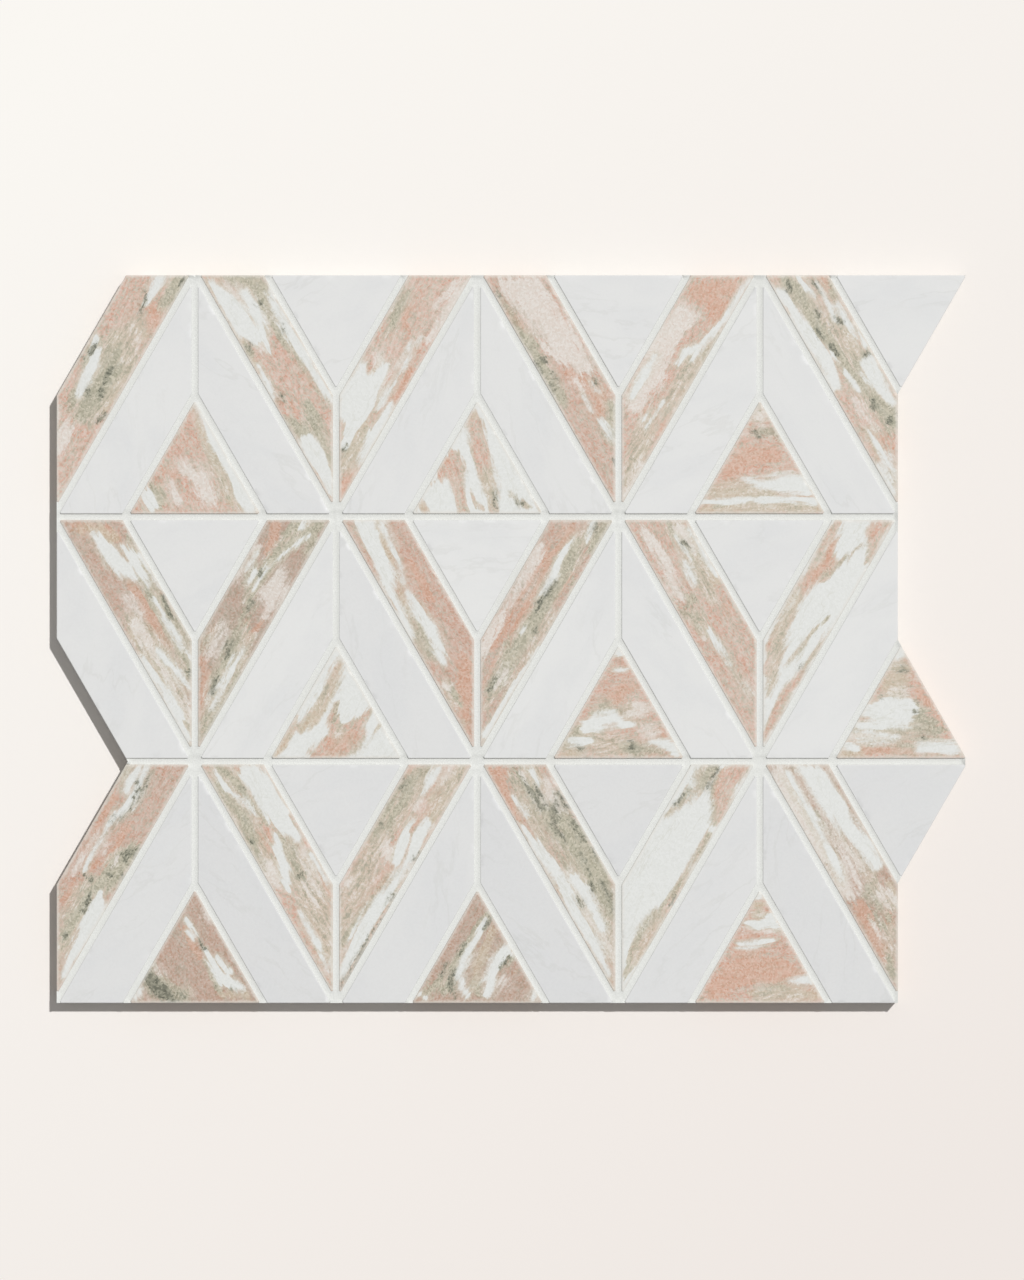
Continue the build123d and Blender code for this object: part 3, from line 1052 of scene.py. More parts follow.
# %% Strokes on the rose trapezoids of the second row
painted |= {
    "rose_trapezoid_r2_1": """
        shade .34
        tan 84,15,2 90,11,2 93,7,1.5
        veined 12,4,2.5 24,6,4 36,7,5 48,7,4 55,6,3; 30,15,2 40,17,3.5 52,18,3 62,18,2.5 76,18.5,2
        white 8,2.5,1 18,2.8,1.7 30,3,1.6 41,2.6,1.2; 24,11.3,.6 31,10.3,1.5 37,9.5,1 41,8.6,.5
        white 32,17.5,.8 38,16.4,1 48,16.4,.8 58,16.9,.9
        white 68,14.2,1 72,13,2.3 78,11.4,3 84,10.2,2.2 89,9.3,.8
        white 63,17,1 68,17,1.6 74,16.9,1.7 80,16.4,1.1; 60,20,.6 74,20.2,.6
        haze 15,6.5,.5 28,7,1.2 36,7,1.2 45,6.5,2 53,6.5,2; 56,9.2,.5 60,9,.8 63,8.8,.5
        tan 16,5.3,.5 30,5,.5 42,4.8,1 52,4,1.5
        green 28.5,15,.8 31,16,.7 40,14.7,.5 52,15,.5 62,15.8,.6
        green 38,19.3,.6 46,19,.8 52,18.8,1.1 57,19.3,1
        green 58,18.4,.3 70,18.9,.3 78,19,.3; 66,14.3,.3 67,16,.5; 79,18.8,.6 82,19.6,.5
        dark 28,14.8,.5 30,15,.4; 49,18.3,.5 52,18.6,.5 54,19.3,.5 56.5,19.9,.5; 59,15.3,.3 63,15.1,.3
        rust 17,9.3,.4 23,10,.6; 40,13,1 50,11.5,2 60,13,2.2 66,12,1.5
        rust 84,16,2 88,13,2.5 92,8,2 95,5,1.5""",
    "rose_trapezoid_r2_2": """
        veined 10,3,1.5 20,4,3.5 30,5,4.5 40,6,4.5 48,7,3.5
        veined 60,12,1.5 68,13,2.5 78,11.5,2 88,10,3.5 96,7,3.5; 46,17,1 40,18,1.5
        shade .56
        green 9,2.5,.8 16,2.3,1 25,2,.6 35,2,.5; 15,4.5,1 18,4.5,.8
        green 35,8.5,1 42,9.5,1.3 50,10.8,1 60,11.5,1; 26,7.5,.7 32,8.5,.6
        green 62,11.5,.8 66,12.5,1 70,13,1.2 75,12.7,1 80,11,.8 85,9,1 90,6.5,1.2 96,4,1.5
        green 63,15,.6 67,17,.7 72,16,.6; 88,12,1.5 92,11,1.5 93,7,1; 36,18.5,.5 40,18.6,.5
        green 83,2,.8 90,3,1.5
        haze 64,5,3.5 72,6,3 66,8.5,2; 36,14.5,1 46,15,1.2; 66,19,1.2 78,18.5,1.2; 58,4,1
        dark 24.5,7,.4 27,7.7,.7 29.5,7.9,.5; 38.5,9,.5 41,9.8,.7 44,10,.3; 57,10.8,.3 60,10.8,.3
        dark 70,13.3,.4 71,13,.3
        white 20,4.3,.4 28,5,.9 36,5,.9 44,5,.5; 22,6.3,.3 32,6.8,.5 40,7.3,.4
        white 64,12.6,.25 70,12.8,.3 76,11.5,.3 84,8.3,.4 91,5.5,.4
        white 66,15,.7 70,15,.7; 92.5,8.5,1 95,9,.9; 70,19,.5 76,18.7,.5
        rust 15,7,1 22,8.5,1.5 27,12,1.5 33,15,1.5; 49,6,1.5 53,4,1.5 60,4.5,1; 52,9,1
        rust 78,14.5,1.5 83,15,2 88,17,2.5; 80,13,.4 84,13,.4; 37,18.5,.7 45,17.5,.8""",
    "rose_trapezoid_r2_3": """
        veined 22,3.5,1.5 30,4,1.5; 42,4,1.5 52,3.5,1.5 62,6,1.5
        shade .18
        warmth .16
        haze 29,4,1.5
        green 20,5,.4 26,5,.8; 14,3,.5; 40,6.2,.6 50,6,.8 60,6,.5; 42,4.5,1.2 48,3.3,1.2 52,4,1
        white 37,7.2,.7 42,8.4,1.8 50,9.2,2.2 58,8.8,2.2 63,8.8,1 65,9,.5
        white 51,1.9,.8 60,2.6,1.3 68,3.5,2 76,5.5,2.8 84,6.5,3 95,7.5,3.2
        white 69,9.8,.4 74,11,.9 80,12,1 88,13,.8 92,13.7,.5
        tan 52,3.3,.8 60,4.6,1 66,6.5,1 70,8,1 80,9.5,1 93,11.7,1
        pink 76,1.8,.4 84,2.3,1 92,2.8,1.5 98,2.5,1.2
        rust 12,3,1.5 20,6,2.5 28,11,3 33,14,2.5; 24,8,1.5; 60,14,2 72,15,2""",
    "rose_trapezoid_r2_4": """
        shade .26
        veined 18,7,1.5 28,7.5,3 40,7.5,3.5 52,7.5,3.5 64,7.5,3.5 76,8,3 88,8,3; 40,3,1 60,3,1; 90,4,3
        white 10,2.5,1 20,2.2,1 30,2.2,.8 38,1.8,.6 46,1.2,.4; 48,9.5,.3 50,9,.3
        white 61,11,.5 66,10.2,1.2 72,9.6,1.4 77,10.8,1 83,11.2,.7 87,11,.3; 88,5.5,.4 92,6,.7 96,7,.5
        green 25,9,1 32,8,1.8 40,9,2.5 50,8,2.5 60,7.5,2 70,6.5,1.8 80,8,1.5 85,9,1; 68,2,.6 75,1.8,.5
        green 86,2.5,1 92,3,1.8 98,3,2 96,5.5,1.5
        dark 50.5,5.5,.4 52,5.5,.4; 58,8.5,.6 61,8.3,.6 60,10,.5 64,8.3,.4 70,7.7,.3
        dark 24.5,9.5,.2 30,9.8,.2; 92.5,4.8,.3 95,5,.3
        haze 27,8,.8 33,7,.8; 34,18,1.5 45,19,1.3 55,19,1.3 66,18.5,2 78,19,1.5
        rust 25,12,1 35,12.5,1.5 45,13,1.5 60,13,1.5 75,14,1.5 88,13,1.5
        rust 38,16,1 48,16.5,1.2 60,16.3,1.3 72,15.5,1 80,16,1; 64,5,1 70,4.5,1 76,4,1""",
    "rose_trapezoid_r2_5": """
        shade .05
        veined 50,6,2 56,6,3; 60,14,2 68,15,3 78,17,3.5 88,15,3
        white 22,9,.3 28,8.6,.5 36,8.3,.5 44,8,.8 50,7.6,.5; 67,12.3,.7 71,12.4,1 75,13,.8
        white 75,15.3,.3 80,14.8,.6 86,14.3,.4; 66,19.8,.5 85,19.8,.5
        green 25,8,.3 36,8,.3; 36,9,.3 44,8.8,.3; 52,6,1 56,6,1 60,4,1 63,8,1.2
        green 72,15,.3 80,15.8,.4 86,15,.4 92,14.5,.3
        haze 23,10,.5 28,9.9,.6; 65,5,1.5 80,6,2 92,6,1.5; 78,18,1.5 87,17,2
        dark 79,16.2,.25 82,15.8,.25
        tan 64,18,1.5 72,18.5,1.5 80,18,1.5 88,17,1.5
        rust 51.5,16.5,.8 54,17.5,1""",
    "rose_trapezoid_r2_6": """
        veined 30,8.5,.6 40,8,.8 50,6.5,.7 58,5,.5; 24,10,1.5 32,12,2.5 40,15,2.5 48,17.5,2 58,18,1.5
        ground white
        pink 8,3,1.7 15,3.2,2.3 22,3.6,2.4 30,3.4,2.2 36,3.3,1.3
        pink 82,2,1.3 88,3.3,2.6 92,5.3,3.4 96,4.5,2.8
        pink 34,9.2,.5 42,7.8,.7 50,6.7,.6 57,4.9,.4; 37,3,.9 42,2.7,.6 48,2.4,.5 54,1.7,.4
        pink 68,12.8,1 75,11.3,.8 79,9.6,.7 83,8.5,.6 86,7,.7
        pink 22,9.5,.6 28,10.5,1.8 34,12.5,2 42,15.5,2 50,17,1.8 60,17.5,2
        pink 60,17.5,2 68,16.5,2.5 74,14.5,3 80,17,2.2 88,18.2,1.8
        pink 30,14,2 38,17,2 46,18.5,1.5 60,19,1.5 75,18.5,2 86,19,1.5
        dark 37,3.2,.5
        rust 68,17,2 74,15,2 84,18,1.5; 91,6,2
        green 35,8.3,.4 42,7.7,.5 50,6.7,.4 58,5,.3; 70,12,.7 75,11.3,.6 79,9.5,.5 83,8.5,.4 86,7,.4
        green 82,3,.4 84,5,.5; 39,2.7,.3 48,2.5,.3
        tan 24,9,.6 34,9,.5; 40,17,1 50,18,1.5 58,18,1.5""",
}
print("strokes for", len(painted), "stones")

# %% Strokes on the rose trapezoids of the third row
painted |= {
    "rose_trapezoid_r3_1": """
        shade .21
        warmth .08
        veined 20,8,1.5 30,10,3 40,11,3 46,9,3; 48,5,3 56,6,3.5 62,4,2
        white 12,2.5,1.2 22,3,2.2 32,4,3 40,5,3 43,6,1.5; 80,16,1.5 86,17,1.8 89,16,1.5
        white 48,14.5,.3 56,15.3,.6 66,15.5,.7 71,14.5,1 76,13,1.2 82,13,1.8 88,14,2 92,14.5,1.5
        tan 16,7,.8 25,7.6,.8 33,8.2,.8 40,8.5,.8
        green 24,9.5,.8 30,11,1.2 36,9.5,1.5 42,10,1.3; 45,7,2.5 50,5,3 56,5,3 62,3.5,2.5
        green 84,19.5,.8 89,19.5,.6
        dark 35,7.8,.3 37,7.9,.4 42,9,.3; 24,9,.3; 51,5,.4 51,7.5,.3; 53,1.8,.5
        dark 58,4,.5 61,4.5,.7 62,2,.8 64,2,.5
        dark 60,5.5,.4; 46,11,.7; 46.5,13.7,.5; 68.5,14.7,.4 70,15,.3; 82,12.6,.6 83,12.4,.5; 79.5,12.8,.3
        dark 84.5,14,.3; 70,12.8,.25 75,11.5,.25 80,10.8,.25 90,11.5,.25
        haze 55,5.5,.3 57.5,7,.3; 57,12,.3 60,13,.3; 47,18,1 56,16.7,.8 62,16.7,.8
        rust 50,13,1 54,10,1 62,9,2 68,10,2; 35,14,2 43,14,1.5; 54,18.5,1 64,18,1 76,18,1""",
    "rose_trapezoid_r3_2": """
        veined 16,7,2 26,10,4 36,12,5 46,14,5 56,15,3; 52,4,2.5 62,4,3.5 72,5,3.5 82,4,3 92,3,2
        veined 74,11,2 84,10,2.5 94,7.5,2.5
        white 12,4.2,.5 20,5.3,.8 28,5.8,1 36,5.8,.6; 45,6,1.2 52,8.5,2 58,10.5,1.8 64,12,.8
        white 40,20,.5 52,19.3,.4
        white 74,9.3,.4 79,8.2,.9 84,6.3,.9 89,4.5,.8 95,3.8,.6; 70,18.5,1.8 80,18,2 88,18,1.5
        white 60,18,1.6 68,16,3.2 78,15.5,4.2 88,15,3.8
        haze 50,3.5,1.8 56,4,2; 36,12.3,.3 44,12.5,.3; 38,15.3,.4 50,15,.5 56,15.5,.5
        haze 42,17.5,.5 54,17.8,.6
        rust 62,6,2 65,9,2.2 68,4,1.5; 72,10.2,.3 82,9.8,.3; 33,13,.6 38,13.4,.5; 36,18,.8 44,18.6,.6
        rust 52,19.8,.3 57,19.9,.3; 18,6,.8 24,8,.8 30,9,.6
        green 56,2.5,.6 65,3,1.2 72,5,1.8 76,5.5,1.8 82,3.5,1.2 90,3,1.2; 50,12.5,.6 58,13.8,.8 63,14,.5
        green 70,11,.4 76,10.4,.5 82,9.6,.8 87,8.8,1.3 93,7,1.5 97,6,1.2
        dark 66,3.5,.4 67,3.6,.4; 84,9,.4 85,9.2,.4; 47,12,.4 47.5,12.8,.4""",
    "rose_trapezoid_r3_3": """
        warmth .08
        veined 24,11,2 34,14,4 46,15,4.5 58,17,3 70,16,4 84,15,4; 78,4,2 88,4,3 96,4,2
        dark 6,1.8,.3 16,1.8,.35 24,1.8,.6 27,1.9,.4 35,1.8,.3 45,1.9,.2; 60,1.7,.3 63,1.5,.3
        dark 80,18.5,.4 83,19,.4; 65,18.8,.3
        white 10,4,1.2 20,5,2.2 30,5.3,2.5 40,5,2.2 48,3.5,1.8 60,4,2 68,5,2.5 73,4,2
        white 56,6.5,1.5 60,7.5,2 66,8.5,1.5
        white 60,9.2,.5 68,9.7,.6 72,10,.4; 82,10.8,.5 87,11.3,1.6 92,11.3,1.4
        green 20,9.5,.5 30,9,.8 37,8,.7 44,6.3,.5 52,5.2,.4; 60,19,.7 70,19,.7 80,19,.8
        green 63,14,.6 70,17,1 76,16.5,1.5 84,17,1.5 88,15,1.2 92,13.5,1
        rust 44,7.3,.8 48,6.8,1.2 51,6.2,1; 78,5,1 84,5,1
        haze 56,10.5,1 58,12,1.5 60,13.5,1; 76,11,.6 79,11,.5; 90,8,.4 94,7.5,.5; 40,18.5,.8 43,18.5,.6
        tan 76,4,1.5 82,3.5,2 90,4,2 96,4,1.5; 82,7.5,1.5""",
    "rose_trapezoid_r3_4": """
        shade .2
        veined 16,7,2 28,9,3 40,9,4 50,9,3; 30,15,3 42,16,4.5 54,16,5 64,14,5 76,12,4.5 88,13,4
        veined 66,7,2 78,8,2 90,8,2
        white 12,2.8,1.3 22,3.3,2.2 34,3.5,2.3 46,4,2.5 56,4.5,2.2 64,3,1.8 72,2.6,1
        white 28,9,1.5 38,9.5,2 48,9.5,1.5
        white 76,5.8,.3 80,5.3,.6 84,4.9,.5; 84,15,.7 89,14.5,1 92,14,.7
        tan 7,1.8,.8 10,2.2,.9; 18,7,.8 24,8.5,.8; 36,14.5,1 44,15,1.5 54,13,1.5 62,14,1.5
        haze 18,7.5,1 26,7.5,1.5 34,7.5,1.5 42,8,1.5 50,8,1.5; 76,13,.8 82,12.5,.5 90,12,.5
        haze 72,17.5,1.5 78,16.5,1.8 82,18,1.5
        green 27,11,.4 32,11,.4; 30,14,1.5 36,15.5,3 44,16,4 52,16.5,4 60,17,3.5 68,17,3 76,18.5,1.5
        green 46,8.5,.5 54,9.3,.7 60,8.8,.5
        green 60,12,1 66,11.5,1.5 72,11,1.5 80,11,1 88,10.5,1 93,10,.8; 74,13,1.5 72,16,1.5
        green 49,5.5,.4 50.5,2.5,.6
        dark 38,6.8,.3 41,6.5,.3; 41,13.3,.4 43,13.5,.5; 51.5,20,.5 53.5,20,.4; 58,19.2,.3 60,19.2,.3
        dark 63,19.2,.9 67,19.2,.8; 71,19.8,.3 77,20,.4
        dark 61,13.2,.3 66,12.7,.6 70,13.5,.4; 69,14.5,.5 72,15.3,1 75,16.6,.6
        dark 75,12,.5 80,11.4,.8 84,11.2,.7 90,10.8,.5 93.5,10.4,.4
        dark 80,13.3,.4 84,13.3,.25; 30,15.5,.3 36,16.5,.3 42,17,.3; 46,15,.25 54,15.5,.25
        rust 73,3,.8 80,2.8,1.3 88,3.5,2 95,3.5,1.8; 93,7,1; 86,16.5,.8 88,17.5,1 91,16,.8""",
    "rose_trapezoid_r3_5": """
        veined 14,3,1.5 26,3.5,2.5 38,3,1.5 50,2,1; 76,12,1 84,14,3 90,15,3; 74,4,1.5 80,9,1.5
        ground white
        pink 9,3.2,.8 15,3.4,1.8 22,4,3.2 28,4.2,3.2 35,3.6,2.6
        pink 35,3.6,2.6 42,2.9,1.9 50,2.3,1.5 60,2.4,1.3 70,2.2,1.5
        pink 74,2.5,1.5 80,4,3.5 86,6.5,4.2 90,7,4 95,5,3.5; 76,15,.5 83,14,2 87,15,3 91,14.5,2.5
        pink 80,16.5,1 74,17.5,.6 67,19.8,.4
        rust 17,2,1.2 24,3,1.8 32,2.5,1.2; 38,1.6,.8 50,1.6,.8; 80,7,1 86,9.5,1.5 92,10.8,1.2; 84,14,1
        dark 41,1.6,.3 44,1.8,.2; 73,18.4,.2 77,17.6,.35 80,16.9,.25; 84,11.2,.25 88,12,.25 93,12,.2
        green 9,3.6,.5 14,4.5,.5 18,6.3,.7 28,6.6,.8 37,5.7,.6 46,3.6,.6
        green 46,3.6,.6 54,2.5,.5 60,3.2,.5 66,1.8,.5 70,2,.6
        green 70,2.3,.8 74,5,1.1 78,7,1.4 82,9.5,1.3 86,11.4,1.1 93,12,.8
        green 67,20,.6 74,18,1 80,17,1.2 86,17.3,1.1 90,17.5,1.2; 76,14,.5 80,15,.6
        green 84,13,1.6 86,14.5,1.5 91,14,1
        haze 84,3,1.5 91,4,2.5 92,7,2""",
    "rose_trapezoid_r3_6": """
        shade .42
        warmth .08
        veined 10,3,1.5 17,5,2 26,10,2.5; 34,15,3 44,14,2 56,12,1.5 66,10,1
        veined 46,3,1.5 60,3.5,1.5 80,3.5,1.5 94,4,1.5
        haze 46,6,4 60,6,5 76,6,5 92,6,5
        green 12,3,1 15,3.5,1 17,4.5,.8; 28,8,.8 33,8.5,1 36,11,1; 30,12,.8; 38,9.5,1.5 41,8.5,1.2 42,11,1
        green 70,7.5,.3 76,8.5,.3
        rust 16,4,1.5 22,5,3 30,4,3 38,5,2.5; 28,12,1 26,10,1 31,13,.8; 48,2,.6 60,3,.8 72,2,.5 88,3,1
        haze 33,14.5,.4 39,13.8,.4; 32,17,.5 38,16,.4; 46,7,2 56,7,2.5 66,6,2 76,6.5,2 86,6,2 94,5,2
        haze 50,12,1.2 60,11,1 68,10,.6; 24,7,.8 30,7.5,.8
        tan 36,18.5,1 40,19,1; 60,4.5,.3 75,4.5,.4 88,4,.5
        pink 44,7,.8 52,8,.8 60,8,.7 68,8,.7 76,9,.8 84,9.3,.8 94,9,.7
        pink 45,15.5,.8 52,14.8,.8 60,13,.8 66,11.7,.6 70,11.5,.4
        white 48,18,1.8 58,17,2.8 68,15.5,3.5 78,15,4 86,15,4 92,12,1.5
        white 50,4,.6 57,5.6,1.1 66,5.5,1 76,6.4,1.3 86,6,1.2 92,6.6,.9""",
}
print("strokes for", len(painted), "stones")

# %% Strokes on the rose triangles
painted |= {
    "rose_triangle_r1_1": """
        veined 12,8,2; 42,5,2 46,3,1.5; 31,26,1 35,16,1.5 37,8,1.5
        grain -65
        white 25.5,42.5,1.5 28,38.5,2 30,34,2.5 33,28,3.2 37,22,3.5 41,15,3.8 43,8,3.2 45,3,2
        white 6.5,9.5,1 8.5,7,2.1 10,3.5,1.9
        tan 27,33,1 31,26,1.2 33.5,19,1.5 36,12,1.8 38,6,2; 12,9,1.5 13,5,1.5; 42,4,1.2
        green 10,11,.8 12.5,8,.8 12.5,4,.8; 44,4,.6; 31,27,.3 33.5,20,.3; 38,7,.5
        haze 22,18,1.8 27,14,2.4 31,7,2.4; 17,12,1 19,6,1.4
        rust 15,17,1 18,14,1""",
    "rose_triangle_r1_2": """
        veined 29.5,16,1.5 31,7,2
        grain -75
        ground white
        pink 10,12.5,1 14,17,3.4 16.5,21,3.4 18.3,17,3.4 19.2,11,2.4 19.8,5,1.8 20.3,2,1.8
        pink 5,4,1.8 6.5,2.5,1.5
        pink 23.5,37,1.6 24.5,33,3.2 26.5,25.5,3.2 28,18,3.2 29.5,10,3 31,3,2.2
        pink 21,11,.4 24,7,.6 27,3,1; 48,3,.7 47,5,.5; 38,8,.4 41,5,1.2 44,3.6,1
        tan 29.5,15,1.5 31,6,1.5; 5,4,1.5 6.5,2.5,1; 23.5,36,1.2
        green 38,8,.3 41,5,1 44,3.5,.8; 27.5,36,.3 31,28,.3 32,20,.3
        dark 40.5,5,.6 41.5,4.8,.5; 31.5,9,.25 31.5,4,.3
        rust 15,22,1 14,19,.8""",
    "rose_triangle_r1_3": """
        warmth .06
        veined 25,37,2; 8,8.5,1.5 18,9.5,1.5 28,8.5,1.5; 10,3,1 30,3.5,1.2 44,4,1.5
        grain 3
        haze 24,38,.8 26,37,.7; 26,34.5,.5
        dark 23.3,30.5,.4 25,29.3,.6 24.8,28.6,.3
        green 26,31,.6 30,31,.5 33,28,.4
        white 19.5,13.4,.3 25,12.2,1.3 31,12,2.7 37,12,3.6 42,11.5,3.4
        white 4,5.2,.8 12,5.4,.8 22,6,.9 30,6,1.3 38,6.3,1.3 45,5.5,.5
        tan 7,8.5,1.5 15,9.5,2.5 24,9,1.5 30,8,.5; 6,2.7,1.2 20,2.8,1.4 32,3.5,1.5 42,4,1.8 47,3.5,1
        rust 14,16,2 22,22,4 30,22,3""",
    "rose_triangle_r2_1": """
        veined 18,20,2 24,28,2; 27,10,2; 9,9,1
        grain 60
        ground white
        pink 3.5,2.5,1.6 6,6,2 8.5,11,1.8 11,16.5,1.2; 13,12,1.5 17,16,3 22,23,3 24.5,28,2.8 27.5,36,1.4
        pink 18,2,2.5 24,5,5 30,7,5 34,10,3 26,11,3.5 24,16,2 25,21,1.2; 32,12,2 36,16,1.4 38,19,.8
        pink 34,3.5,.5 37,7,.6 41,13,.5
        tan 14,12,1.5 19,17,2.2 25,26,2 28,34,1; 4,3,1.5 9,12,1
        rust 22,28.5,.8 25,28,.8; 24,7,2 30,9,2 23,3,1.5
        green 33,3,.5 36,7,.4 41,13,.5; 24,14,.5
        green 25,14,.6 25.5,20,.5; 27,28,.8 29,32,.5""",
    "rose_triangle_r2_2": """
        shade .05
        warmth .05
        veined 12,9,3 20,7,4 30,4,3; 30,18,3; 20,20,2.5
        grain 10
        white 25.5,42,3.5; 24,33.3,.4 27,33,.6 29.5,34,.5
        white 13,12.5,1.8 18,14,3 23,15.3,2.6 27.5,14,1.2 30,13,.4
        white 9,7.5,1.3 12,7,1.6 15.5,7.3,1; 37,7,.6 43,6,1.5 46,3.5,1.5
        haze 35,11,1.2 38,9.5,1.5; 32,20,1.5 35,19,1.5 28,16,.8
        green 11,11,1 8,9,.8 6,6,.8; 16,17.5,.5 22,19,.5 27,17,.4; 28,5,1.2 32,4,1.5 37,4,1.2 41,3,1
        tan 6,4,1 10,3,1.2 12,4.5,.6
        dark 11.5,4.8,.4 12.5,4.5,.3; 30,7,.4 30.3,5,.4 31.5,4.5,.3
        rust 27,26,2 24,23,2 32,27,1; 41,11,1 42,9,1; 36,16,1.2; 22,9,1.5 27,3,1""",
    "rose_triangle_r2_3": """
        veined 16,13,3 28,12,3 32,18,2; 24,26,3; 24,34,2; 26,4,1.5
        grain 0
        white 25,41,3.5 24,38,2; 13,18,2.4 20,18,5 27,18.5,4.2; 10,13.5,1 18,14,2 27,13.5,1.2
        white 9,10.4,.5 14,10.2,.7 20,9.5,.7; 10,7.8,.7 18,7.8,.7 24,8.8,.7
        white 32,5,1.3 38,5.2,2.1 44,5,2.3; 6,6,1.5 9,4.5,1
        tan 25,31,4 22,28,3; 4,2.2,.8 12,2.2,.8
        dark 25.5,32,.4 26,34,.3 27,32.5,.3; 17.5,23.8,.4 18.5,23.5,.3; 30.7,18.5,.4; 31,22,.3
        dark 33.5,8.6,.4
        rust 31,26,1.2 34,22.5,1.2 38,18.5,1 40,14,1.2 41,11,1.2; 11,3.5,1 17,5,1.8 24,4.8,1.8 30,3,1
        haze 21,24,.6 27,24.5,.6; 8,8.5,.6 14,8.5,1 20,8.8,1
        green 30,20,1.5 33,16,2.5 36,13,2.5 32,12,2 38,11,2; 10,9.3,.5 16,8.8,.5
        green 14,6.8,.4 24,7.2,.5 30,5,.5
        green 7,10,.4 11,11.7,.5 17,11,.5 24,10.5,.8 30,8.5,.8 34,8.2,.6""",
    "rose_triangle_r3_1": """
        shade .47
        warmth .16
        veined 34,9,1.5 31,16,1; 22,5,1.5
        grain -60
        green 9,15,2 10,10,3.4 13,7,3.6 17,4,3 21,2.5,1.5; 31,16,.4 33,9,.4 34,5,.4
        dark 7.5,13.5,1.4 9.5,9.5,2.4 12,6.5,3 15.5,3.5,2.2 18,1.5,1; 20,5,.3 21.5,3,.3
        dark 27,23.5,.3 28.5,21,.5 29,20.5,.3; 33,7,.3; 38.5,6,.25
        white 4,4,1.5 6,6,.8; 22.5,31,.2 25,28,.4 26,26,.3; 22,27,.2 25,24.5,.3; 33,17,.8 38,12,.8
        white 29.5,20.5,.4 31,17,1 33.5,13,1.8 36,9.5,2 40,7.5,1.5 43,6.5,.8
        haze 10.5,14,.3 12.5,11.5,.3; 31,35,1.5 30,32,1.2
        tan 35,4.5,1 40,4,1.3 44,4,1; 38,7,.8
        rust 22,28,1 24,22,1.5 27,18,1""",
    "rose_triangle_r3_2": """
        shade .5
        warmth .2
        veined 14,7,2 18,14,2 22,22,1.5; 25,8,2
        grain 58
        white 29,31,.4 26,26,1 23,21,1.2 20,16,1.3 18.5,11.5,1 20,7,1 22,3.5,1; 5,4,1 6.5,3,.6
        white 46,5,.6 45.5,3,.6
        white 38,22,.6 36,21,1.2 34,17,2.2 31,14,2 29.5,9,1.8 29,5,1.5; 37,19,1.5
        green 29,33,.6 26,30,.5 22,24,.6 18,17,.8 16,12,1 15,8,1.2 13,5,1; 38.5,19.5,.8 39,17,.8
        green 25,7,.4 26,4,.4
        green 8,5,1 12,10,1
        dark 16.5,13,.5 15.5,10,.9 16,7,.7 17,4,.5; 19,19,.3 21,22.5,.4; 14,15,.3 12.5,11,.3
        dark 34,14,.4 35.5,15.8,.7 37,17.5,.5; 28,28,.2 30.5,32,.3
        tan 31,27,1 28,20,1.5 25,14,1.5 24,8,1.5; 40,12,1
        haze 33,8,1 35,9,1""",
    "rose_triangle_r3_3": """
        shade .05
        veined 26,4,2 40,4,2.5; 25,33,2
        warmth .12
        grain 5
        white 26,41,1.5 25,39.5,1; 21,30.3,.8 25,29.5,2 30,31,2.5 31,28.5,1.5
        white 36.5,8.7,.5 39,9,1.5 43,9.5,1.8 44,8,1
        white 18,22.3,.6 22,22,1 27,22.8,.7 30,23.5,.4
        tan 25,36,2 24,33,1.5; 23,4.5,1 30,5.2,1.8 38,4.5,1.8 46,4,1.5; 28,3,1
        haze 19,27.5,1 26,27.3,1.2 33,27.5,.7
        rust 17,24.2,.4 23,25.5,.5; 9,6,3 20,13,6 32,13,5 38,11,3
        green 24,6.5,.4 34,7.3,.4""",
}
print("strokes for", len(painted), "stones")

# %% [markdown]
# ## From strokes to depths
# A stroke is read back as a chain of pieces, each a straight run that swells or thins from knot to
# knot. How deep a point lies is the half width of the stroke beside it, less its distance from the
# stroke's middle line. The deepest of all strokes of one kind counts.

# %% How deep a point lies in the strokes
farthest = 4.0
thinnest = 0.3


def read_strokes(text):
    """The strokes of a stone by kind, and what else is said of it: ground, grain, warmth and shade."""
    strokes = {kind: [] for kind in KINDS}
    said = {"ground": "pink", "grain": 0.0, "warmth": 0.0, "shade": 0.0}
    for line in text.strip().splitlines():
        kind, drawn = line.split(maxsplit=1)
        if kind in said:
            said[kind] = drawn if kind == "ground" else float(drawn)
        else:
            for stroke in drawn.split(";"):
                strokes[kind].append([[float(part) for part in knot.split(",")] for knot in stroke.split()])
    return strokes, said


def depth_in(strokes, points):
    """How deep each point lies in the nearest of some strokes, less than nothing outside them."""
    deepest = np.full(len(points), -farthest)
    for stroke in strokes:
        knots = np.array(stroke)
        for start, end in zip(knots, np.vstack([knots[1:], knots[-1:]])):
            run = end[:2] - start[:2]
            length = max(run @ run, 1e-9)
            share = np.clip((points - start[:2]) @ run / length, 0, 1)
            off = np.linalg.norm(points - start[:2] - share[:, None] * run, axis=1)
            half_width = np.maximum(start[2] + share * (end[2] - start[2]), thinnest)
            deepest = np.maximum(deepest, half_width - off)
    return deepest


# %% [markdown]
# ## Storing the figures and laying every chip
# Figures go right through a real stone, at a slant. So a vertex on a side or on the back looks up the
# strokes a little further along and across, in step with its depth below the face. Each chip reads the
# noise at a place of its own, so that no two stones repeat, and each white chip has its own tone.

# %% What a chip stores
slant = np.array([0.35, -0.5])
apart = np.array([137.0, 71.0, 0.0])
widest_turn = 40
usual_tone, tone_spread = 0.8, 0.12
last_row_darker, right_hand_darker = 0.3, 0.15
stones = {"rose": rose_marble, "white": white_marble}
chance = random.Random(11)


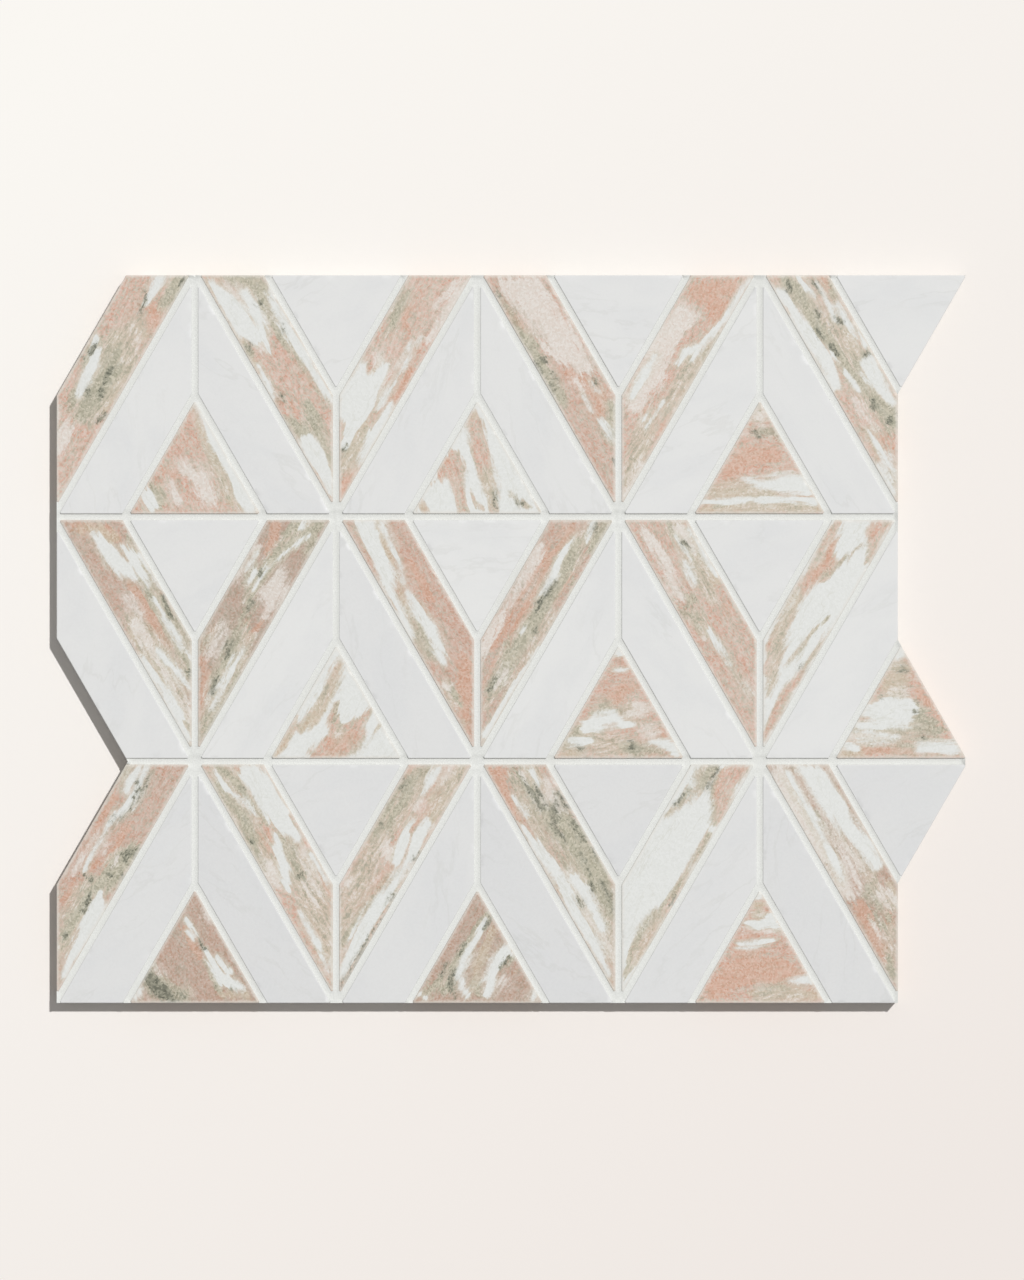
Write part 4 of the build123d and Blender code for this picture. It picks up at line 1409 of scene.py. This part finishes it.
def paint(mesh, seat, number):
    """Stores grain, depth below the face, tone and, on a rose stone, its figures."""
    local = np.empty(3 * len(mesh.vertices), np.float32)
    mesh.attributes["local"].data.foreach_get("vector", local)
    local = local.reshape(-1, 3).astype(float)
    strokes, said = read_strokes(painted.get(seat.node, ""))
    white = seat.stone == "white"
    turn = math.radians(chance.uniform(-widest_turn, widest_turn) if white else said["grain"])
    along = local[:, 0] * math.cos(turn) + local[:, 1] * math.sin(turn)
    across = local[:, 1] * math.cos(turn) - local[:, 0] * math.sin(turn)
    store(mesh, "grain", np.column_stack([along, across, local[:, 2]]) + apart * number)
    store(mesh, "below", -local[:, 2])
    if white:
        tone = usual_tone - last_row_darker * (seat.row == rows) - right_hand_darker * (seat.hand == 1)
        store(mesh, "tone", np.full(len(local), tone + chance.uniform(-tone_spread, tone_spread)))
        return
    looked_up = local[:, :2] - local[:, 2:] * slant
    depths = {kind: depth_in(strokes[kind], looked_up) for kind in KINDS}
    if said["ground"] == "white":
        depths["white"] = np.full(len(local), farthest)
    for kind in ("white", "haze"):
        depths[kind] = np.minimum(depths[kind], -depths["pink"])
    for kind in KINDS[:-1]:
        store(mesh, kind, depths[kind])
    for name in ("warmth", "shade"):
        store(mesh, name, np.full(len(local), said[name]))


# %% Lay the chips
deepest_seat = 0.12
spall_depth = 0.28
sharp_arris = 20
triangles = 0
for number, seat in enumerate(seats):
    values = {
        "Seat": (seat.corner.x * MM, seat.corner.y * MM, face_height * MM),
        "Turn": math.atan2(seat.along.y, seat.along.x),
        "Mirror": 1.0 if seat.along.cross(seat.across) > 0 else -1.0,
        "Lower": chance.uniform(0.0, deepest_seat),
        "Spall depth": spall_depth,
        "Stone": stones[seat.stone],
    }
    piece = grown(f"{seat.node}_stone", blanks[seat.stone, seat.shape], lay_chip, values)
    turned_out(piece.data)
    paint(piece.data, seat, number)
    smoothed(piece.data, sharp_arris, "local")
    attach(piece, "root")
    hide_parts(seat.node)
    triangles += len(piece.data.loop_triangles)
print(len(seats), "chips laid,", triangles, "triangles")

# %% [markdown]
# ## Grout
# The joint filling is one piece: a slab as large as the sheet with a window for every chip. Its face
# is struck a little hollow between the chips with a rubber float, and the sand stands out of it. A
# plain slab would show neither, so its face is filled with small triangles, each vertex stores how far
# it is from the nearest chip, and a Geometry Nodes tree hollows and roughens it. The slab keys a hair
# into the chips and stops a hair inside their outer sides, so that no two walls lie in one plane.

# %% Outline of the sheet
def moved_in_any(outline, distance):
    """An outline that may turn either way, with every side moved in by a distance."""
    inner = []
    for number in range(len(outline)):
        corner, back, ahead = sides_at(outline, number)
        normal_before = Vector((back.y, -back.x))
        normal_after = Vector((-ahead.y, ahead.x))
        middle = (normal_before + normal_after).normalized()
        inner.append(corner + middle * (distance / middle.dot(normal_after)))
    return inner


def trimmed(outline, limit):
    """An outline cut off where it reaches further right than a limit."""
    kept = []
    for start, end in zip(outline, ahead_of(outline)):
        if start.x <= limit:
            kept.append(start)
        if (start.x > limit) != (end.x > limit):
            kept.append(start.lerp(end, (limit - start.x) / (end.x - start.x)))
    return kept


def sheet_outline():
    """Outline of the grouted sheet, half a joint inside the lattice, with its side points cut off."""
    right, point = triangles_per_row * triangle_side, triangle_side / 4
    right_side = [(0, 0), (0, 0.5), (point, 1), (0, 1.5), (0, 2.5), (point, 3)]
    left_side = [(point, 3), (0, 2.5), (0, 1.5), (point, 1), (0, 0.5)]
    steps = [(0, 0)] + [(right + x, y) for x, y in right_side] + left_side
    shift = Vector((-sheet_middle, -rows / 2 * row_height))
    lattice = [Vector((x, y * row_height)) + shift for x, y in steps]
    return trimmed(moved_in_any(lattice, joint / 2), sheet_right - sheet_middle)


outline = sheet_outline()
plan = np.array([point[:] for point in outline])
low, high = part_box("grout")
apart_low, apart_high = abs(plan.min(0) - low.xy / MM), abs(plan.max(0) - high.xy / MM)
print(f"outline and node agree to {max(apart_low.max(), apart_high.max()):.4f} mm")

# %% Windows for the chips
key = 0.05
rim = moved_in_any(outline, key / 2)
windows = []
for seat in seats:
    window = [on_sheet(seat, point) for point in moved_in(outlines[seat.shape], key)]
    windows.append(window if seat.along.cross(seat.across) > 0 else window[::-1])


def from_chips(points):
    """Distance from each point to the nearest window within a joint, and whether it lies in a window."""
    gap = np.full(len(points), np.inf)
    taken = np.zeros(len(points), bool)
    for window in windows:
        low, high = np.min(window, axis=0) - joint, np.max(window, axis=0) + joint
        nearby = np.all((points > low) & (points < high), axis=1)
        gap[nearby] = np.minimum(gap[nearby], distance_to(window, points[nearby]))
        taken[nearby] |= inside(window, points[nearby])
    return gap, taken


print(len(windows), "windows")

# %% The grout slab
grout_net = 0.75
points = hexagonal(plan.min(0), plan.max(0), grout_net)
points = points[inside(rim, points) & (distance_to(rim, points) > grout_net / 2)]
gap, taken = from_chips(points)
points = points[~taken & (gap > grout_net / 2)]
loops = [divided(loop, parts_of(loop, grout_net)) for loop in [rim, *windows]]
places, faces = closed_solid([(grout_height, loops), (base_height, loops)], points, [])
slab = mesh_of("grout slab", places, faces)
wall = from_chips(places[:, :2])[0]
wall[(places[:, 2] < grout_height) | np.isinf(wall)] = 0
store(slab, "wall", wall)
store(slab, "rim", distance_to(rim, places[:, :2]))
print("grout:", len(places), "vertices,", len(faces), "faces")

# %% [markdown]
# ## Striking the joints
# The float leaves the joints fuller where they slant, away from the straight lines between the rows,
# so the face climbs there. At the very edge of the sheet the grout was cut flush with the chips. Both
# are eased in by the tree, from the distances that the slab stores.

# %% The tree that strikes the joints
strike_joints, given, result = new_group(
    "strike joints",
    "GeometryNodeTree",
    {
        "Geometry": (SHAPE, None),
        "Hollow": (VALUE, 0.25),
        "Sand": (VALUE, 0.12),
        "Climb": (VALUE, 0.3),
        "Flush": (VALUE, 0.7),
        "Half joint": (VALUE, joint / 2),
        "Row height": (VALUE, row_height),
        "Filling": (MATERIAL, None),
    },
    {"Geometry": SHAPE},
)
climb_run, flush_run, wall_run = 1.5, 1.5, 0.5
above_back = base_height + 1.0
wall_gap = stored(strike_joints, "wall")
off_wall = eased(strike_joints, wall_gap, key, wall_run)
hollow = eased(strike_joints, wall_gap, 0.0, given["Half joint"])
place = scaled(strike_joints, position(strike_joints), 1 / MM)
grains = noise(strike_joints, place, 0.8, 3.0, 0.7)
sunk = maths(strike_joints, "MULTIPLY_ADD", grains, given["Sand"], given["Hollow"])
at = parts_of_vector(strike_joints, place)
in_rows = maths(strike_joints, "FRACT", maths(strike_joints, "DIVIDE", at[1], given["Row height"]))
from_line = maths(strike_joints, "ABSOLUTE", maths(strike_joints, "SUBTRACT", in_rows, 0.5))
from_line = maths(strike_joints, "MULTIPLY", from_line, given["Row height"])
climbed = maths(strike_joints, "ADD", given["Half joint"], climb_run)
off_line = eased(strike_joints, from_line, given["Half joint"], climbed)
on_face = maths(strike_joints, "GREATER_THAN", at[2], above_back)
climb = maths(strike_joints, "MULTIPLY", maths(strike_joints, "MULTIPLY", off_line, on_face), given["Climb"])
dip = maths(strike_joints, "MULTIPLY", sunk, hollow)
near_rim = eased(strike_joints, stored(strike_joints, "rim"), 0.0, flush_run, 1.0, 0.0)
at_end = maths(strike_joints, "MULTIPLY", near_rim, off_wall)
climb = eased(strike_joints, at_end, 0.0, 1.0, climb, given["Flush"])
dip = eased(strike_joints, at_end, 0.0, 1.0, dip, 0.0)
raised = maths(strike_joints, "MULTIPLY", maths(strike_joints, "SUBTRACT", climb, dip), MM)
end_tree(strike_joints, lifted(strike_joints, given["Geometry"], raised), given["Filling"], result)

# %% Strike them
sharp_grout = 40
struck = {"Hollow": 0.2, "Sand": 0.15, "Climb": 0.4, "Filling": grout_material}
filling = grown("grout_filling", slab, strike_joints, struck)
smoothed(filling.data, sharp_grout, "wall", "rim")
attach(filling, "root")
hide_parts("grout")
print("grout struck:", len(filling.data.polygons), "faces")

# %% [markdown]
# ## The woven mesh on the back
# What holds the chips is an open scrim of glass yarn, 5 mm from yarn to yarn. The model has it as a thin
# plate. Here a Geometry Nodes tree weaves it: two families of straight lines cross, each sways over
# and under the other, a ray test against the plate trims them to the sheet, and a flat profile swept
# along them gives the yarns their body.

# %% The tree that weaves the scrim
weave, given, result = new_group(
    "weave scrim",
    "GeometryNodeTree",
    {
        "Geometry": (SHAPE, None),
        "Plate": ("NodeSocketObject", None),
        "Length": (VALUE, 0.33),
        "Width": (VALUE, 0.27),
        "Spacing": (VALUE, 0.005),
        "Steps": (VALUE, 3.0),
        "Yarn width": (VALUE, 0.0009),
        "Yarn thickness": (VALUE, 0.0002),
        "Sway": (VALUE, 0.0001),
        "Middle": (VALUE, 0.00025),
        "Yarn": (MATERIAL, None),
    },
    {"Geometry": SHAPE},
)
yarn_sides = 5
ray_drop, ray_length = 0.01, 0.1
plate = add(weave, "GeometryNodeObjectInfo", {"Object": given["Plate"]}).outputs["Geometry"]
step = maths(weave, "DIVIDE", given["Spacing"], given["Steps"])
ring = add(weave, "GeometryNodeCurvePrimitiveCircle", {"Resolution": yarn_sides, "Radius": 1.0}).outputs[0]
share = maths(weave, "DIVIDE", add(weave, "GeometryNodeInputIndex").outputs[0], float(yarn_sides))
half_width = maths(weave, "MULTIPLY", given["Yarn width"], 0.5)
half_thickness = maths(weave, "MULTIPLY", given["Yarn thickness"], 0.5)
flatten = vector_from(weave, {0: half_width, 1: half_thickness, 2: 1.0})


def kept_on(shape, name, value):
    """A shape that stores a value on each of its points."""
    kept = {"Geometry": shape, "Name": name, "Value": value}
    return add(weave, "GeometryNodeStoreNamedAttribute", kept).outputs[0]


ring = kept_on(ring, "round_yarn", share)
profile = add(weave, "GeometryNodeTransform", {"Geometry": ring, "Scale": flatten}).outputs[0]

# %% Lines that become yarns
def row_of(count, axis, start, step):
    """A mesh line along one axis."""
    line = {"Count": count, "Start Location": vector_from(weave, {axis: start})}
    return add(weave, "GeometryNodeMeshLine", {**line, "Offset": vector_from(weave, {axis: step})}).outputs[0]


def lines_across(run, reach, axis):
    """Straight lines along one axis, one for each yarn, spread evenly along the other axis."""
    line = row_of(maths(weave, "DIVIDE", run, step), axis, maths(weave, "MULTIPLY", run, -0.5), step)
    yarns = maths(weave, "DIVIDE", reach, given["Spacing"])
    starts = row_of(yarns, 1 - axis, maths(weave, "MULTIPLY", reach, -0.5), given["Spacing"])
    spread = add(weave, "GeometryNodeInstanceOnPoints", {"Points": starts, "Instance": line}).outputs[0]
    return realised(weave, spread)


def woven(lines, sign):
    """Lines that sway over and under, trimmed to the plate and swept with the yarn's profile."""
    place = position(weave)
    parts = parts_of_vector(weave, place)
    steps_in = maths(weave, "DIVIDE", maths(weave, "ADD", parts[0], parts[1]), given["Spacing"])
    phase = maths(weave, "MULTIPLY_ADD", steps_in, math.pi, math.pi / 4)
    sway = maths(weave, "MULTIPLY", maths(weave, "SINE", phase), given["Sway"])
    swayed = lifted(weave, lines, maths(weave, "MULTIPLY_ADD", sway, sign, given["Middle"]))
    beneath = vector_maths(weave, "ADD", place, (0, 0, -ray_drop))
    ray = {"Target Geometry": plate, "Source Position": beneath, "Ray Direction": (0, 0, 1)}
    ray["Ray Length"] = ray_length
    hit = add(weave, "GeometryNodeRaycast", ray).outputs["Is Hit"]
    missed = add(weave, "FunctionNodeBooleanMath", {0: hit}, operation="NOT").outputs[0]
    cut = add(weave, "GeometryNodeDeleteGeometry", {"Geometry": swayed, "Selection": missed}).outputs[0]
    curves = add(weave, "GeometryNodeMeshToCurve", {"Mesh": cut}).outputs[0]
    upright = add(weave, "GeometryNodeSetCurveNormal", {"Curve": curves}, mode="Z_UP").outputs[0]
    marked = kept_on(upright, "along_yarn", add(weave, "GeometryNodeSplineParameter").outputs["Length"])
    swept = {"Curve": marked, "Profile Curve": profile, "Fill Caps": True}
    return add(weave, "GeometryNodeCurveToMesh", swept).outputs[0]


warp = woven(lines_across(given["Length"], given["Width"], 0), 1.0)
weft = woven(lines_across(given["Width"], given["Length"], 1), -1.0)
cloth = add(weave, "GeometryNodeJoinGeometry")
weave.links.new(warp, cloth.inputs[0])
weave.links.new(weft, cloth.inputs[0])
end_tree(weave, cloth.outputs[0], given["Yarn"], result)

# %% Weave it
yarn_spacing = 5.0
plate_low, plate_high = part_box("backing_mesh")
yarns = {
    "Plate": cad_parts["backing_mesh"],
    "Length": math.ceil((plate_high.x - plate_low.x) / MM / yarn_spacing + 1) * yarn_spacing * MM,
    "Width": math.ceil((plate_high.y - plate_low.y) / MM / yarn_spacing + 1) * yarn_spacing * MM,
    "Spacing": yarn_spacing * MM,
    "Steps": 3.0,
    "Yarn width": 0.9 * MM,
    "Yarn thickness": 0.22 * MM,
    "Sway": 0.12 * MM,
    "Middle": base_height / 2 * MM,
    "Yarn": glass_mesh,
}
scrim = grown("woven_scrim", bpy.data.meshes.new("scrim"), weave, yarns)
scrim.data.shade_smooth()
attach(scrim, "root")
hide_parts("backing_mesh")
scrim.data.calc_loop_triangles()
heights = [vertex.co.z / MM for vertex in scrim.data.vertices]
print(f"scrim: {len(scrim.data.loop_triangles)} triangles, {min(heights):.3f} to {max(heights):.3f} mm high")

# %% [markdown]
# ## Size of the sheet
# The construction model's box is printed. The dressed model has to stay inside the
# construction model's box.

# %% Size of the construction model
print("construction box", cad_box)
